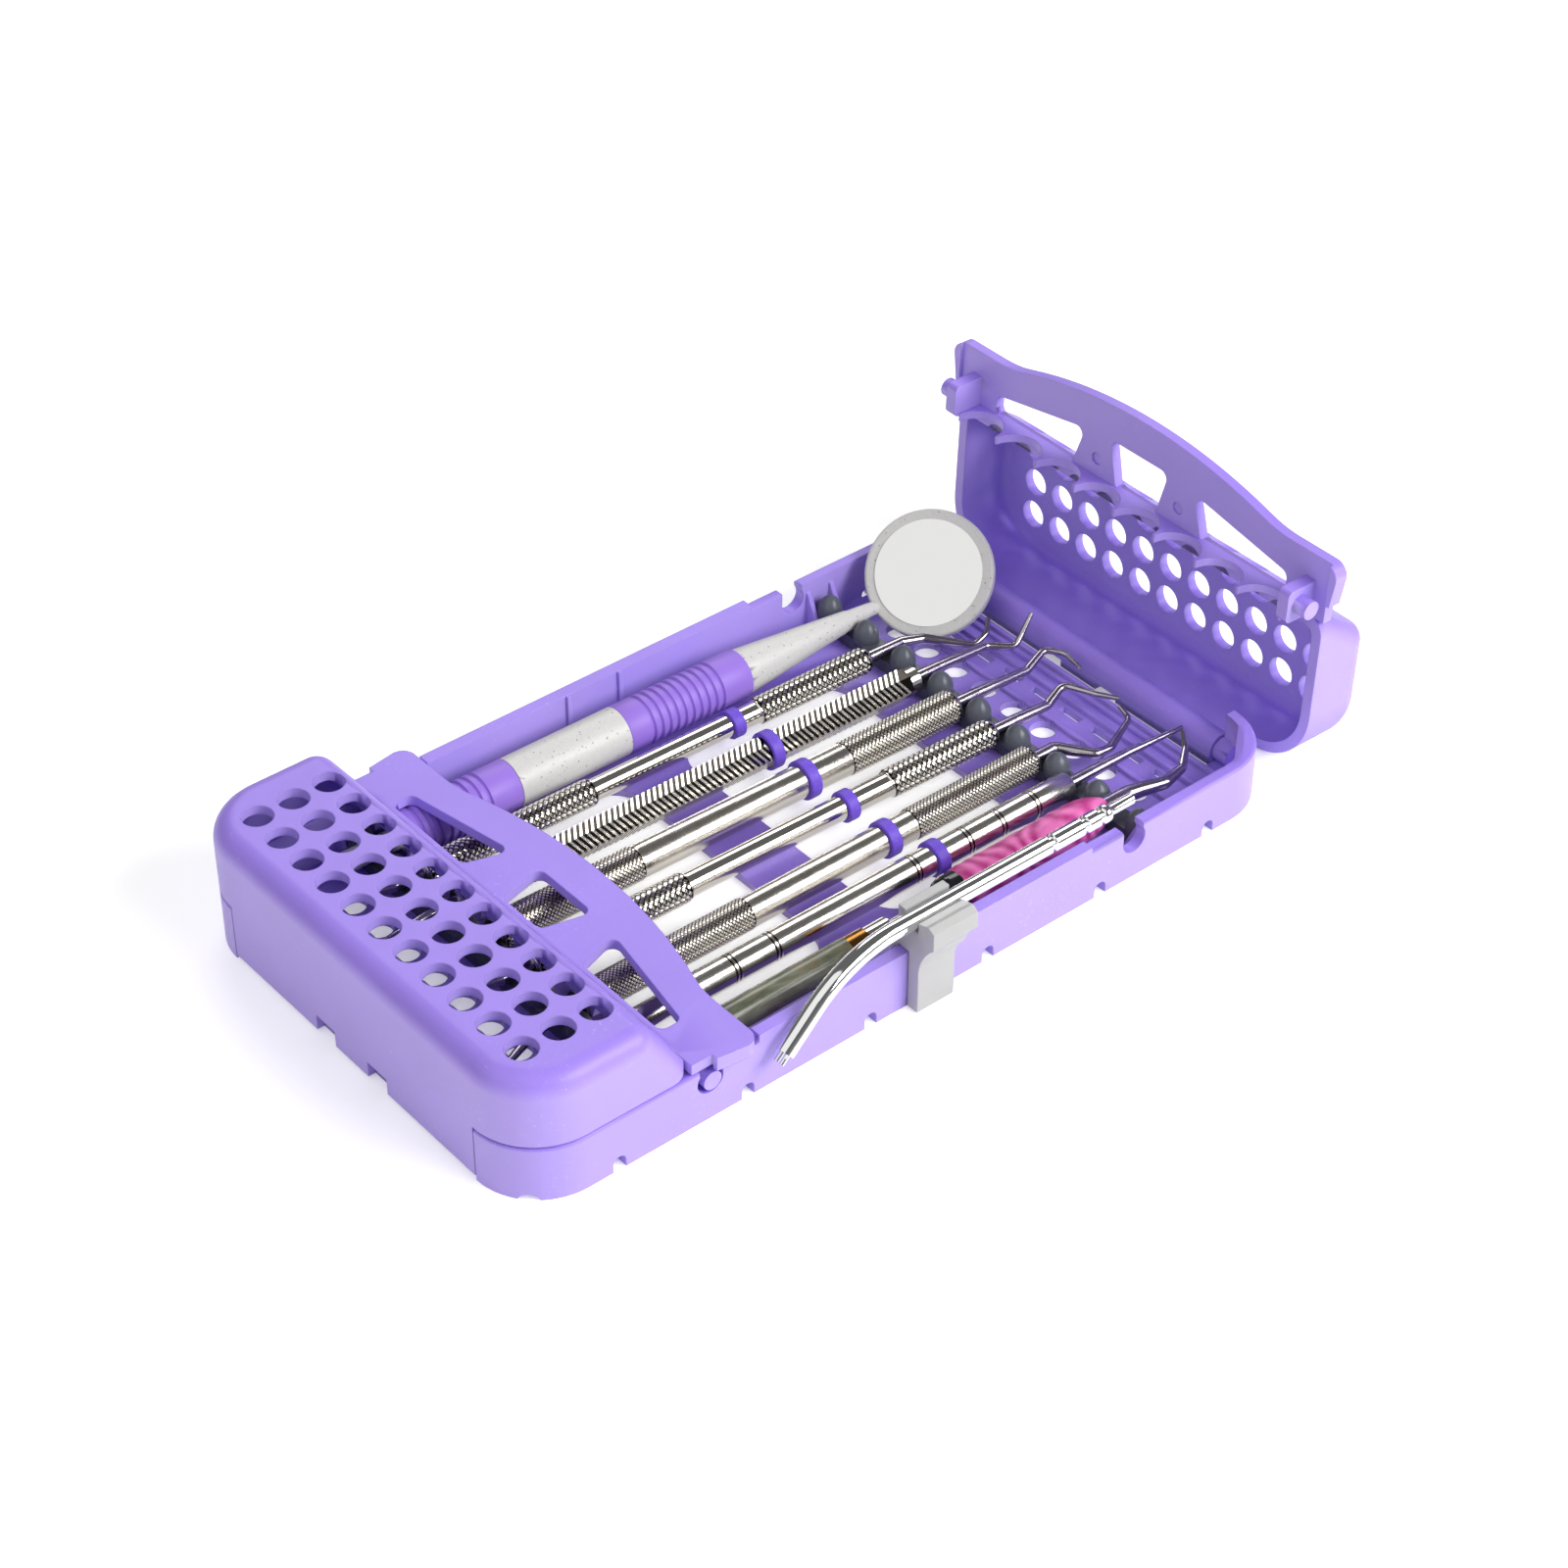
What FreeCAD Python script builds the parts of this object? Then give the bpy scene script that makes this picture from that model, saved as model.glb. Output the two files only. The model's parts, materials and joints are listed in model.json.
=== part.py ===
import FreeCAD
import Part

import math
import os

# A perforated cassette that holds eight hand instruments.
# A tray with two hinged end covers, silicone rails that part the instruments,
# and a clip on the front wall that carries a tube.
# X runs along the instruments towards the open cover, Y towards the back wall and Z up.
# The origin is the middle of the tray's underside. All sizes are millimetres and degrees.

Vector = FreeCAD.Vector

# Gaps that keep separate pieces apart
running_gap = 0.3
parting_gap = 0.6
hinge_clearance = 0.08
channel_clearance = 0.08

# How far cutting tools reach past what they cut, and how closely edges are picked
margin = 1.0
tiny = 1e-3

# Tray
tray_length = 206.0
tray_width = 114.8
corner_radius = 15.5
tray_wall = 2.8
floor_thickness = 1.8
end_wall_height = 13.4
middle_wall_height = 14.5
middle_wall_from_end = 58.0
wall_edge_radius = 0.8
end_opening_past_corner = 0.1
end_opening_room = 1.2
drain_count = 6
drain_from_end = 23.0
drain_width = 3.2
drain_height = 3.4
corner_thumb_radius = 2.6
corner_thumb_drop = 1.2
wall_rib_spacing = 14.2
wall_rib_width = 1.2
wall_rib_depth = 0.7
gusset_thickness = 1.2
gusset_reach = 4.2
gusset_height = 10.5

# Tray floor
floor_band_width = 15.0
floor_opening_from_rail = 10.4
floor_opening_from_side = 20.4
floor_opening_radius = 9.0
floor_hole_from_end = 26.8
floor_hole_diameter = 6.0
floor_hole_pitch = 9.7
floor_slot_from_end = 18.2
floor_slot_length = 6.0
floor_slot_width = 1.9
floor_ridges_from_end = (23.4, 15.4, 9.4)
floor_ridge_width = 1.2
floor_ridge_height = 1.0
floor_groove_from_end = 12.2
floor_groove_width = 2.0
floor_groove_depth = 1.1
floor_groove_end_gap = 2.0

# Hinges, the same at both ends
hinge_from_end = 3.4
hinge_height = 4.4
barrel_radius = hinge_from_end
hinge_boss_radius = 2.9
hinge_pin_radius = 1.5
hinge_pin_length = 3.6
hinge_hole_end_play = 0.4
open_angle = 92.0

# Covers
cover_height = 30.6
cover_wall = 2.6
lid_thickness = 2.4
lid_edge_radius = 4.8
lid_corner_inner_radius = 2.4
slope_top_from_end = 32.0
slope_foot_from_end = 41.5
cover_hole_diameter = 6.9
cover_hole_pitch_along = 8.77
cover_hole_from_side = 12.4
cover_hole_rows = 4
cover_hole_columns = 11
cover_hole_from_end = 10.2
flap_notch_width = 6.6
flap_notch_height = 4.9
flap_notch_depth = 1.7
flap_notch_spacing = 18.0

# Handle bar of a cover
bar_top_height = 16.5
bar_thickness = 2.5
bar_ear_from_end = 56.3
bar_bulge = 6.8
bar_bulge_from_side = 11.4
bar_overlap = 0.5
bar_hollow_radius = 29.0
ear_overhang = 2.5
ear_end_overhang = 1.5
ear_length = 10.2
ear_corner_radius = 3.2
ear_height = 3.3
window_radius = 1.9
window_foot_from_end = 42.6
middle_window_bar_from_end = 54.1
middle_window_bar_width = 18.2
middle_window_foot_width = 12.6
side_window_inner_at_bar = 17.0
side_window_inner_at_foot = 20.4
side_window_from_side = 11.6
side_window_bar_from_end = 53.1
side_window_tip_from_end = 47.8
dimple_from_end = 47.2
dimple_spacing = 25.6
dimple_radius = 1.5
dimple_depth = 0.5

# Snap pins that lock a cover to the tray walls
snap_from_rail = 8.6
snap_height = 9.5
snap_pin_radius = 2.2
snap_block_length = 8.0
snap_block_thickness = 3.0
snap_block_drop = 8.2
snap_block_from_wall = 0.7
snap_block_radius = 1.4
snap_socket_radius = 3.2
snap_socket_shift = 0.6
snap_lip_gap = 1.0

# Instrument slots
slot_count = 8
slots_from_side = 6.6
comb_thickness = 2.0
comb_from_rail = 3.4
comb_cusp_width = 0.74
comb_arc_height = 7.2

# Silicone rails
rail_from_end = 37.6
rail_width = 5.0
rail_end_gap = 1.6
saddle_height = 5.0
peg_radius = 2.9
peg_height = 10.2

# Metal hand instruments, in the order of their slots from the back wall
shank_root_radius = 1.6
shank_tip_radius = 0.55
shank_straight_past_rail = 1.1
shank_bend_radius = 2.2
handle_end_gap = 0.6
handle_end_chamfer = 0.8
yaw_span = 126.0
ring_width = 3.0
ring_thickness = 0.8
slim_waist = (-18.1, 26.5)
slim_right_end_gap = 3.5
slim_end_radius = 3.2
slim_waist_radius = 2.6
hex_across_flats = 6.4
hex_sides = 6
hex_collar_length = 2.2
hex_collar_step = 0.5
wide_waist = (-25.3, 30.3)
wide_end_radius = 4.0
wide_waist_radius = 3.8
polished_waist = (-22.3, 31.8)
polished_end_radius = 3.4
polished_waist_radius = 2.8
satin_waist = (-17.9, 26.3)
satin_end_radius = 3.7
satin_waist_radius = 3.5
tube_handle_end_length = 14.8
tube_handle_end_radius = 2.7
tube_handle_radius = 3.3
ring_places = {
    "slim": 20.4, "hex": 20.4, "wide": 19.9, "polished": 20.8, "satin": 20.0, "tube": 23.7,
}

# How far each instrument lies off the middle of its slot at the left and the right rail
slot_shifts = {
    "slim": (1.15, -1.6), "hex": (1.6, -1.35), "wide": (1.25, -1.5),
    "polished": (1.45, -1.45), "satin": (-1.5, -1.6), "tube": (-0.15, -0.35),
}

# Bends of the working ends: distance past the straight root, shift across and rise
right_bends = {
    "slim": [(5.0, -1.8, -0.2), (14.0, -9.4, -1.8), (17.6, -9.4, -0.2), (20.2, -6.8, 1.4)],
    "hex": [(14.0, -0.6, 0.0), (19.4, -4.4, -0.6), (22.0, -3.6, 1.4), (25.6, -2.6, 5.0)],
    "wide": [(14.6, -0.6, 0.0), (21.0, 1.0, 2.0), (24.2, -2.6, 1.6), (23.8, -8.0, 1.0)],
    "polished": [(9.4, -0.4, 0.0), (15.2, 1.2, 2.0), (19.2, -5.8, 1.6), (22.4, -9.6, 1.2)],
    "satin": [(5.8, -7.2, -0.4), (10.0, -7.4, -0.6), (20.0, -3.0, 0.0), (20.4, 0.6, 1.0)],
    "tube": [(11.0, -0.2, 0.0), (26.6, -1.2, 0.0)],
    "grip": [
        (3.0, -0.6, 0.0), (9.0, -2.4, 0.0), (15.4, -1.2, 0.0), (20.0, 2.4, 1.0), (22.6, 6.0, 2.2),
    ],
}
left_bends = {
    "slim": [(10.0, 2.5, 0.0), (17.0, 6.0, 1.0), (20.0, 3.0, 2.0)],
    "hex": [(12.0, -1.5, 0.0), (18.0, -5.0, 1.0), (22.0, -2.0, 3.0)],
    "wide": [(12.0, 1.5, 0.0), (19.0, 5.0, 1.6), (22.0, 1.5, 2.4)],
    "polished": [(9.0, 2.0, 0.0), (16.0, 5.5, 1.4), (21.0, 2.0, 1.0)],
    "satin": [(8.0, -2.5, 0.0), (15.0, -6.0, 1.0), (19.0, -2.5, 2.0)],
    "tube": [(12.0, 1.2, 0.0), (22.0, 2.0, 0.0)],
    "grip": [(10.0, 2.0, 0.0), (18.0, 5.0, 1.2)],
}

# Mouth mirror
mirror_axis_height = 7.95
mirror_shifts = (0.3, -1.3)
mirror_tail_past_rail = 12.6
mirror_tail_radius = 2.4
mirror_tail_taper = 2.0
mirror_core_radius = 4.2
mirror_body_radius = 5.8
mirror_neck_radius = 2.3
mirror_neck_past_rail = 5.1
mirror_neck_shoulder = 0.1
mirror_neck_tip_radius = 1.4
mirror_neck_bend_radius = 3.0
mirror_neck_inset = 1.5
mirror_grip_groove_depth = 0.5
mirror_grip_rib_pitch = 2.15
mirror_front_grip_x = -1.9
mirror_front_grip_length = 34.0
mirror_rear_grip_from_rail = 6.3
mirror_rear_grip_length = 28.0
mirror_collar_length = 5.6
mirror_short_collar_length = 2.0
mirror_shoulder_step = 0.3
mirror_cone_from_rail = 1.4
mirror_head_radius = 15.2
mirror_head_thickness = 3.0
mirror_glass_radius = 12.6
mirror_glass_thickness = 0.9
mirror_glass_proud = 0.25
mirror_head_past_rail = 18.3
mirror_head_aside = 6.85
mirror_head_height = 15.4
mirror_head_normal = (-0.60, -0.36, 0.71)
mirror_rim_radius = 0.8

# Silicone-grip instrument
grip_axis_height = 7.9
grip_shifts = (0.0, 0.9)
grip_radius = 4.8
grip_start_x = 19.5
grip_end_gap = 1.3
bolster_length = 5.5
bolster_radius = 4.5
ferrule_length = 10.0
ferrule_radius = 2.9
link_radius = 1.6
gold_band_length = 5.0
olive_radius = 3.3
olive_end_gap = 1.9
grip_nose_length = 8.0
grip_nose_taper = 0.6
grip_nose_collar_length = 1.4
grip_nose_collar_radius = 3.2
grip_nose_end_radius = 2.6
bolster_nose_radius = 2.3
bolster_round_length = 3.0
bolster_round_step = 0.6
ferrule_neck_length = 4.0
ferrule_neck_taper = 1.5
band_step = 0.1
olive_taper_length = 1.5
olive_taper_step = 1.2
grip_root_radius = 2.3
olive_root_radius = 2.1

# Wall clip
clip_x = -0.4
clip_width = 11.8
clip_leg_width = 9.8
clip_leg_thickness = 3.0
clip_leg_bottom = 0.3
clip_inner_thickness = 2.0
clip_inner_leg_drop = 6.0
clip_waist_height = 13.6
clip_front_depth = 7.2
clip_front_height = 24.6
clip_flare_height = 11.5
clip_flare_top = 19.5
clip_flare_hollow = 0.3
clip_back_jaw_height = 25.0
clip_jaw_thickness = 1.9
clip_lip_width = 1.6
clip_lip_drop = 0.8
clip_shoulder = 1.0
clip_trim_gap = 0.1

# Tube in the clip
tube_radius = 2.0
tube_axis_height = 23.2
tube_from_wall = -0.8
tube_bend_x = -23.0
tube_end_x = -41.6
tube_end_height = 10.2
tube_end_from_wall = 3.6
tube_bend_radius = 40.0
tube_straight_end_x = 48.4
tube_nose_end_x = 54.6
tube_nose_radius = 1.2
tube_shoulder = 1.0
tube_groove_positions = (31.4, 40.6, 45.2)
tube_groove_width = 1.6
tube_groove_depth = 0.6
stub_length = 2.2
stub_radius = 0.6
stub_spacing = 1.5

# Values worked out from the sizes above
end_x = tray_length / 2
wall_y = tray_width / 2
inner_wall_y = wall_y - tray_wall
end_opening_width = 2 * (wall_y - corner_radius + end_opening_past_corner)
drain_pitch = (tray_length - 2 * drain_from_end) / (drain_count - 1)
slot_pitch = (tray_width - 2 * slots_from_side) / slot_count
comb_arc_radius = (slot_pitch - comb_cusp_width) / 2
cover_hole_pitch_across = (tray_width - 2 * cover_hole_from_side) / (cover_hole_columns - 1)
rail_x = end_x - rail_from_end
rail_inner_x = rail_x - rail_width / 2
rail_outer_x = rail_x + rail_width / 2
floor_opening_length = rail_inner_x - floor_opening_from_rail - floor_band_width / 2
hinge_x = end_x - hinge_from_end
flap_half_width = end_opening_width / 2 - running_gap
parting_height = end_wall_height + parting_gap
bar_underside = bar_top_height - bar_thickness
snap_x = rail_x - snap_from_rail
handle_end_x = rail_inner_x - handle_end_gap
shank_straight_end_x = rail_outer_x + shank_straight_past_rail
instrument_axis_height = saddle_height + running_gap + shank_root_radius
mirror_tail_x = -(rail_x + mirror_tail_past_rail)
mirror_rear_grip_x = mirror_rear_grip_from_rail - rail_x
mirror_cone_end_x = rail_x - mirror_cone_from_rail
mirror_neck_end_x = rail_x + mirror_neck_past_rail
grip_end_x = rail_inner_x - grip_end_gap
olive_end_x = olive_end_gap - rail_inner_x


def box(x0, x1, y0, y1, z0, z1):
    """A block between two corners."""
    return Part.makeBox(x1 - x0, y1 - y0, z1 - z0, Vector(x0, y0, z0))


def rod(radius, start, end):
    """A round bar from one point to another."""
    start, end = Vector(*start), Vector(*end)
    return Part.makeCylinder(radius, start.distanceToPoint(end), start, end - start)


def joined(first, others):
    """One solid from pieces that meet."""
    return first.multiFuse(list(others)).removeSplitter()


def upright_edges(shape):
    """Edges that run along Z."""
    return [
        e for e in shape.Edges
        if abs(e.Vertexes[0].X - e.Vertexes[-1].X) < tiny
        and abs(e.Vertexes[0].Y - e.Vertexes[-1].Y) < tiny
        and abs(e.Vertexes[0].Z - e.Vertexes[-1].Z) > tiny
    ]


def top_of(edge):
    """The height of an edge's higher end."""
    return max(v.Z for v in edge.Vertexes)


def round_edges(shape, radius):
    """Level arcs of one radius."""
    return [
        e for e in shape.Edges
        if isinstance(e.Curve, Part.Circle)
        and abs(e.Curve.Radius - radius) < tiny
        and abs(e.Vertexes[0].Z - e.Vertexes[-1].Z) < tiny
    ]


def round_rims(shape):
    """The full circles round a disc's two faces."""
    return [e for e in shape.Edges if isinstance(e.Curve, Part.Circle)]


def prism(points, height, start=0.0):
    """A plate with a straight-sided outline in plan."""
    corners = [Vector(x, y, start) for x, y in points]
    return Part.Face(Part.makePolygon(corners + corners[:1])).extrude(Vector(0, 0, height))


def rounded_slab(length, width, radius, bottom, top):
    """A slab centred on the origin with round corners in plan."""
    slab = box(-length / 2, length / 2, -width / 2, width / 2, bottom, top)
    return slab.makeFillet(radius, upright_edges(slab))


def side_profile(points, half_width):
    """A body with one outline in side view, as wide as twice half_width."""
    corners = [Vector(x, -half_width, z) for x, z in points]
    face = Part.Face(Part.makePolygon(corners + corners[:1]))
    return face.extrude(Vector(0, 2 * half_width, 0))


def turned(profile, y, z):
    """A body turned about a line along X from pairs of position and radius."""
    outline = [Vector(profile[0][0], 0, 0)]
    outline += [Vector(x, 0, r) for x, r in profile]
    outline += [Vector(profile[-1][0], 0, 0), outline[0]]
    body = Part.Face(Part.makePolygon(outline)).revolve(Vector(0, 0, 0), Vector(1, 0, 0), 360)
    return body.translated(Vector(0, y, z))


def bent_path(points, radius):
    """A wire through points with its corners rounded to one radius."""
    points = [Vector(*p) for p in points]
    edges = []
    start = points[0]
    for before, corner, after in zip(points, points[1:], points[2:]):
        arriving = (corner - before).normalize()
        leaving = (after - corner).normalize()
        turn = arriving.getAngle(leaving)
        reach = radius * math.tan(turn / 2)
        first = corner - arriving * reach
        last = corner + leaving * reach
        inward = (leaving - arriving).normalize()
        middle = corner + inward * (radius / math.cos(turn / 2) - radius)
        edges.append(Part.LineSegment(start, first).toShape())
        edges.append(Part.Arc(first, middle, last).toShape())
        start = last
    edges.append(Part.LineSegment(start, points[-1]).toShape())
    return Part.Wire(edges)


def tapered_rod(points, bend_radius, start_radius, end_radius):
    """A bent rod that narrows evenly from its first point to its last."""
    path = bent_path(points, bend_radius)
    first, second = Vector(*points[0]), Vector(*points[1])
    before_last, last = Vector(*points[-2]), Vector(*points[-1])
    root = Part.Wire(Part.Circle(first, second - first, start_radius).toShape())
    tip = Part.Wire(Part.Circle(last, last - before_last, end_radius).toShape())
    return path.makePipeShell([root, tip], True, False)


def slot_y(number):
    """Middle of an instrument slot, counted from the back wall."""
    return slot_pitch * ((slot_count - 1) / 2 - number)


def mirrored(shape):
    """The same piece at the other end of the tray."""
    return shape.mirror(Vector(0, 0, 0), Vector(1, 0, 0))


def both_ends(shape):
    """A piece and its copy at the other end."""
    return [shape, mirrored(shape)]


def both_sides(shape):
    """A piece and its copy at the other wall."""
    return [shape, shape.mirror(Vector(0, 0, 0), Vector(0, 1, 0))]


def four_ways(shape):
    """A piece repeated at both ends and both walls."""
    return [copy for end in both_ends(shape) for copy in both_sides(end)]


def tray_shell():
    """Floor and walls, lower at the ends and open where the covers close them."""
    outer = rounded_slab(tray_length, tray_width, corner_radius, 0, middle_wall_height)
    hollow = rounded_slab(
        tray_length - 2 * tray_wall,
        tray_width - 2 * tray_wall,
        corner_radius - tray_wall,
        floor_thickness,
        middle_wall_height + tray_wall,
    )
    low_end = box(
        end_x - middle_wall_from_end, end_x + tray_wall,
        -wall_y, wall_y, end_wall_height, cover_height
    )
    end_gap = box(
        hinge_x - barrel_radius - end_opening_room,
        end_x + tray_wall,
        -end_opening_width / 2,
        end_opening_width / 2,
        -tray_wall,
        cover_height,
    )
    shell = outer.cut([hollow] + both_ends(low_end) + both_ends(end_gap))
    rims = [e for e in round_edges(shell, corner_radius) if abs(top_of(e) - end_wall_height) < tiny]
    return shell.makeFillet(wall_edge_radius, rims)


def hinge_boss():
    """The round seat of a hinge pin in one corner."""
    start = end_opening_width / 2
    end = start + hinge_pin_length + hinge_hole_end_play
    return rod(hinge_boss_radius, (hinge_x, start, hinge_height), (hinge_x, end, hinge_height))


def hinge_hole():
    """The bore for a hinge pin."""
    start = end_opening_width / 2 - running_gap
    end = start + hinge_pin_length + hinge_hole_end_play
    radius = hinge_pin_radius + hinge_clearance
    return rod(radius, (hinge_x, start, hinge_height), (hinge_x, end, hinge_height))


def snap_socket():
    """The hooked notch in a wall that a snap pin drops into."""
    middle = snap_x + snap_socket_shift
    start, end = inner_wall_y - running_gap, wall_y + running_gap
    round_end = rod(
        snap_socket_radius, (middle, start, snap_height + snap_socket_shift),
        (middle, end, snap_height + snap_socket_shift)
    )
    lip_x = snap_x + snap_pin_radius + snap_lip_gap
    mouth = box(
        middle - snap_socket_radius, lip_x, start, end,
        snap_height + snap_socket_shift, middle_wall_height + running_gap
    )
    return round_end.fuse(mouth)


def drain_notch(x):
    """A small round-topped notch in the foot of a side wall."""
    radius = drain_width / 2
    start, end = inner_wall_y - running_gap, wall_y + running_gap
    arch = rod(radius, (x, start, drain_height - radius), (x, end, drain_height - radius))
    foot = box(x - radius, x + radius, start, end, -running_gap, drain_height - radius)
    return arch.fuse(foot)


def floor_openings():
    """The two large windows in the floor under the instruments."""
    slab = rounded_slab(
        floor_opening_length, tray_width - 2 * floor_opening_from_side, floor_opening_radius,
        -floor_thickness, 2 * floor_thickness
    )
    shift = (floor_band_width + floor_opening_length) / 2
    return both_ends(slab.translated(Vector(shift, 0, 0)))


def floor_pattern_rows(pitch):
    """Places across the floor for what repeats along Y."""
    side = int((inner_wall_y - pitch) // pitch)
    return [pitch * n for n in range(-side, side + 1)]


def floor_perforations():
    """Round holes and slots at one end of the floor."""
    cuts = []
    for y in floor_pattern_rows(floor_hole_pitch):
        hole_x = end_x - floor_hole_from_end
        cuts.append(rod(
            floor_hole_diameter / 2, (hole_x, y, -floor_thickness), (hole_x, y, 3 * floor_thickness)
        ))
        slot_x = end_x - floor_slot_from_end
        cuts.append(box(
            slot_x - floor_slot_width / 2, slot_x + floor_slot_width / 2,
            y - floor_slot_length / 2, y + floor_slot_length / 2,
            -floor_thickness, 2 * floor_thickness
        ))
    return cuts


def floor_ridges():
    """Straight ridges that stiffen one end of the floor."""
    reach = inner_wall_y - gusset_reach
    return [
        box(
            end_x - place - floor_ridge_width / 2, end_x - place + floor_ridge_width / 2,
            -reach, reach, 0, floor_thickness + floor_ridge_height
        )
        for place in floor_ridges_from_end
    ]


def floor_groove():
    """The long groove beside the hinge barrel."""
    x = end_x - floor_groove_from_end
    reach = end_opening_width / 2 - floor_groove_end_gap
    return box(
        x - floor_groove_width / 2, x + floor_groove_width / 2, -reach, reach,
        floor_thickness - floor_groove_depth, floor_thickness + floor_ridge_height
    )


def wall_ribs():
    """Upright ribs on the inner faces of the long walls."""
    return [
        box(
            side * wall_rib_spacing / 2 - wall_rib_width / 2,
            side * wall_rib_spacing / 2 + wall_rib_width / 2,
            inner_wall_y - wall_rib_depth, inner_wall_y + tray_wall / 2,
            0, middle_wall_height - running_gap
        )
        for side in (-1, 1)
    ]


def gussets():
    """Two thin triangles that brace a long wall beside the rail."""
    fins = []
    for side in (-1, 1):
        x = rail_x + side * (rail_width / 2 + running_gap) + min(side, 0) * gusset_thickness
        foot = inner_wall_y - gusset_reach
        outline = [
            Vector(x, foot, floor_thickness / 2),
            Vector(x, wall_y - tray_wall / 2, floor_thickness / 2),
            Vector(x, wall_y - tray_wall / 2, gusset_height),
            Vector(x, inner_wall_y - running_gap, gusset_height),
            Vector(x, foot, floor_thickness + running_gap),
        ]
        face = Part.Face(Part.makePolygon(outline + outline[:1]))
        fins.append(face.extrude(Vector(gusset_thickness, 0, 0)))
    return fins


def corner_thumb():
    """A shallow scoop in the foot of one corner."""
    centre = corner_radius * (1 - math.sqrt(0.5))
    place = Vector(end_x - centre, wall_y - centre, -corner_thumb_drop)
    return Part.makeSphere(corner_thumb_radius, place)


def make_tray():
    """The tray as one moulding."""
    added = four_ways(hinge_boss())
    added += [rib for side in wall_ribs() for rib in both_sides(side)]
    added += [fin for gusset in gussets() for fin in four_ways(gusset)]
    added += [ridge for one in floor_ridges() for ridge in both_ends(one)]
    tray = joined(tray_shell(), added)
    cuts = floor_openings() + four_ways(hinge_hole()) + four_ways(snap_socket())
    cuts += [hole for one in floor_perforations() for hole in both_ends(one)]
    cuts += four_ways(corner_thumb()) + both_ends(floor_groove())
    for number in range(drain_count):
        place = drain_pitch * (number - (drain_count - 1) / 2)
        cuts += both_sides(drain_notch(place))
    return tray.cut(cuts)


def slope_shift(distance):
    """How far along X the slope's faces lie apart for a wall of this thickness."""
    rise = cover_height - bar_top_height
    run = slope_foot_from_end - slope_top_from_end
    return distance * math.hypot(rise, run) / rise


def hood(inset, top_drop, edge_radius, bottom):
    """The raised end of a cover, or with an inset the hollow inside it."""
    end = end_x - inset
    side = wall_y - inset
    block = box(0, end, -side, side, bottom, cover_height - top_drop)
    round_ends = [e for e in upright_edges(block) if e.Vertexes[0].X > end - tiny]
    block = block.makeFillet(corner_radius - inset, round_ends)
    shift = slope_shift(inset) if inset else 0.0
    foot = end_x - slope_foot_from_end + shift
    run = slope_foot_from_end - slope_top_from_end
    rise = cover_height - bar_top_height
    profile = [
        (foot, bottom - margin),
        (end_x + margin, bottom - margin),
        (end_x + margin, cover_height + rise),
        (foot + 2 * run, bar_top_height + 2 * rise),
        (foot, bar_top_height),
    ]
    body = block.common(side_profile(profile, wall_y + margin))
    top = [e for e in body.Edges if min(v.Z for v in e.Vertexes) > cover_height - top_drop - tiny]
    slope_sides = [
        e for e in body.Edges
        if abs(e.Vertexes[0].Y - e.Vertexes[-1].Y) < tiny
        and abs(e.Vertexes[0].X - e.Vertexes[-1].X) > tiny
        and abs(e.Vertexes[0].Z - e.Vertexes[-1].Z) > tiny
    ]
    foot_sides = [e for e in upright_edges(body) if e.Vertexes[0].X < foot + tiny]
    return body.makeFillet(edge_radius, top + slope_sides + foot_sides)


def bar_free_edge():
    """The free edge of the bar: straight ends, hollows and a wide bulge."""
    ear_x = end_x - bar_ear_from_end
    half = wall_y - bar_bulge_from_side
    bulge_radius = (half**2 + bar_bulge**2) / (2 * bar_bulge) - bar_hollow_radius
    meet_y = half * bulge_radius / (bulge_radius + bar_hollow_radius)
    hollow_y = (half + meet_y) / 2

    def on_bulge(y):
        return ear_x - bar_bulge + bulge_radius - math.sqrt(bulge_radius**2 - y**2)

    def on_hollow(y):
        return ear_x - bar_hollow_radius + math.sqrt(bar_hollow_radius**2 - (half - y) ** 2)

    def at(x, y):
        return Vector(x, y, 0)

    meet_x = on_bulge(meet_y)
    return [
        Part.Arc(at(ear_x, -half), at(on_hollow(hollow_y), -hollow_y), at(meet_x, -meet_y)),
        Part.Arc(at(meet_x, -meet_y), at(ear_x - bar_bulge, 0), at(meet_x, meet_y)),
        Part.Arc(at(meet_x, meet_y), at(on_hollow(hollow_y), hollow_y), at(ear_x, half)),
    ]


def bar_outline():
    """The outline of the bar and its ears, seen from above."""
    ear_x = end_x - bar_ear_from_end
    half = wall_y - bar_bulge_from_side
    outer = wall_y + ear_overhang
    corner = ear_corner_radius
    lean = corner * (1 - math.sqrt(0.5))
    inner_x = end_x - slope_foot_from_end + bar_overlap
    edges = [e.toShape() for e in bar_free_edge()]
    for side in (1, -1):
        turn_in = Vector(ear_x, side * (outer - corner), 0)
        turn_mid = Vector(ear_x + lean, side * (outer - lean), 0)
        turn_out = Vector(ear_x + corner, side * outer, 0)
        corners = [
            turn_out,
            Vector(ear_x + ear_length, side * (wall_y + ear_end_overhang), 0),
            Vector(ear_x + ear_length, side * wall_y, 0),
            Vector(inner_x, side * wall_y, 0),
        ]
        edges.append(Part.LineSegment(Vector(ear_x, side * half, 0), turn_in).toShape())
        edges.append(Part.Arc(turn_in, turn_mid, turn_out).toShape())
        edges += Part.makePolygon(corners).Edges
    edges.append(
        Part.LineSegment(Vector(inner_x, -wall_y, 0), Vector(inner_x, wall_y, 0)).toShape()
    )
    return Part.Face(Part.Wire(Part.__sortEdges__(edges)))


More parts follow.
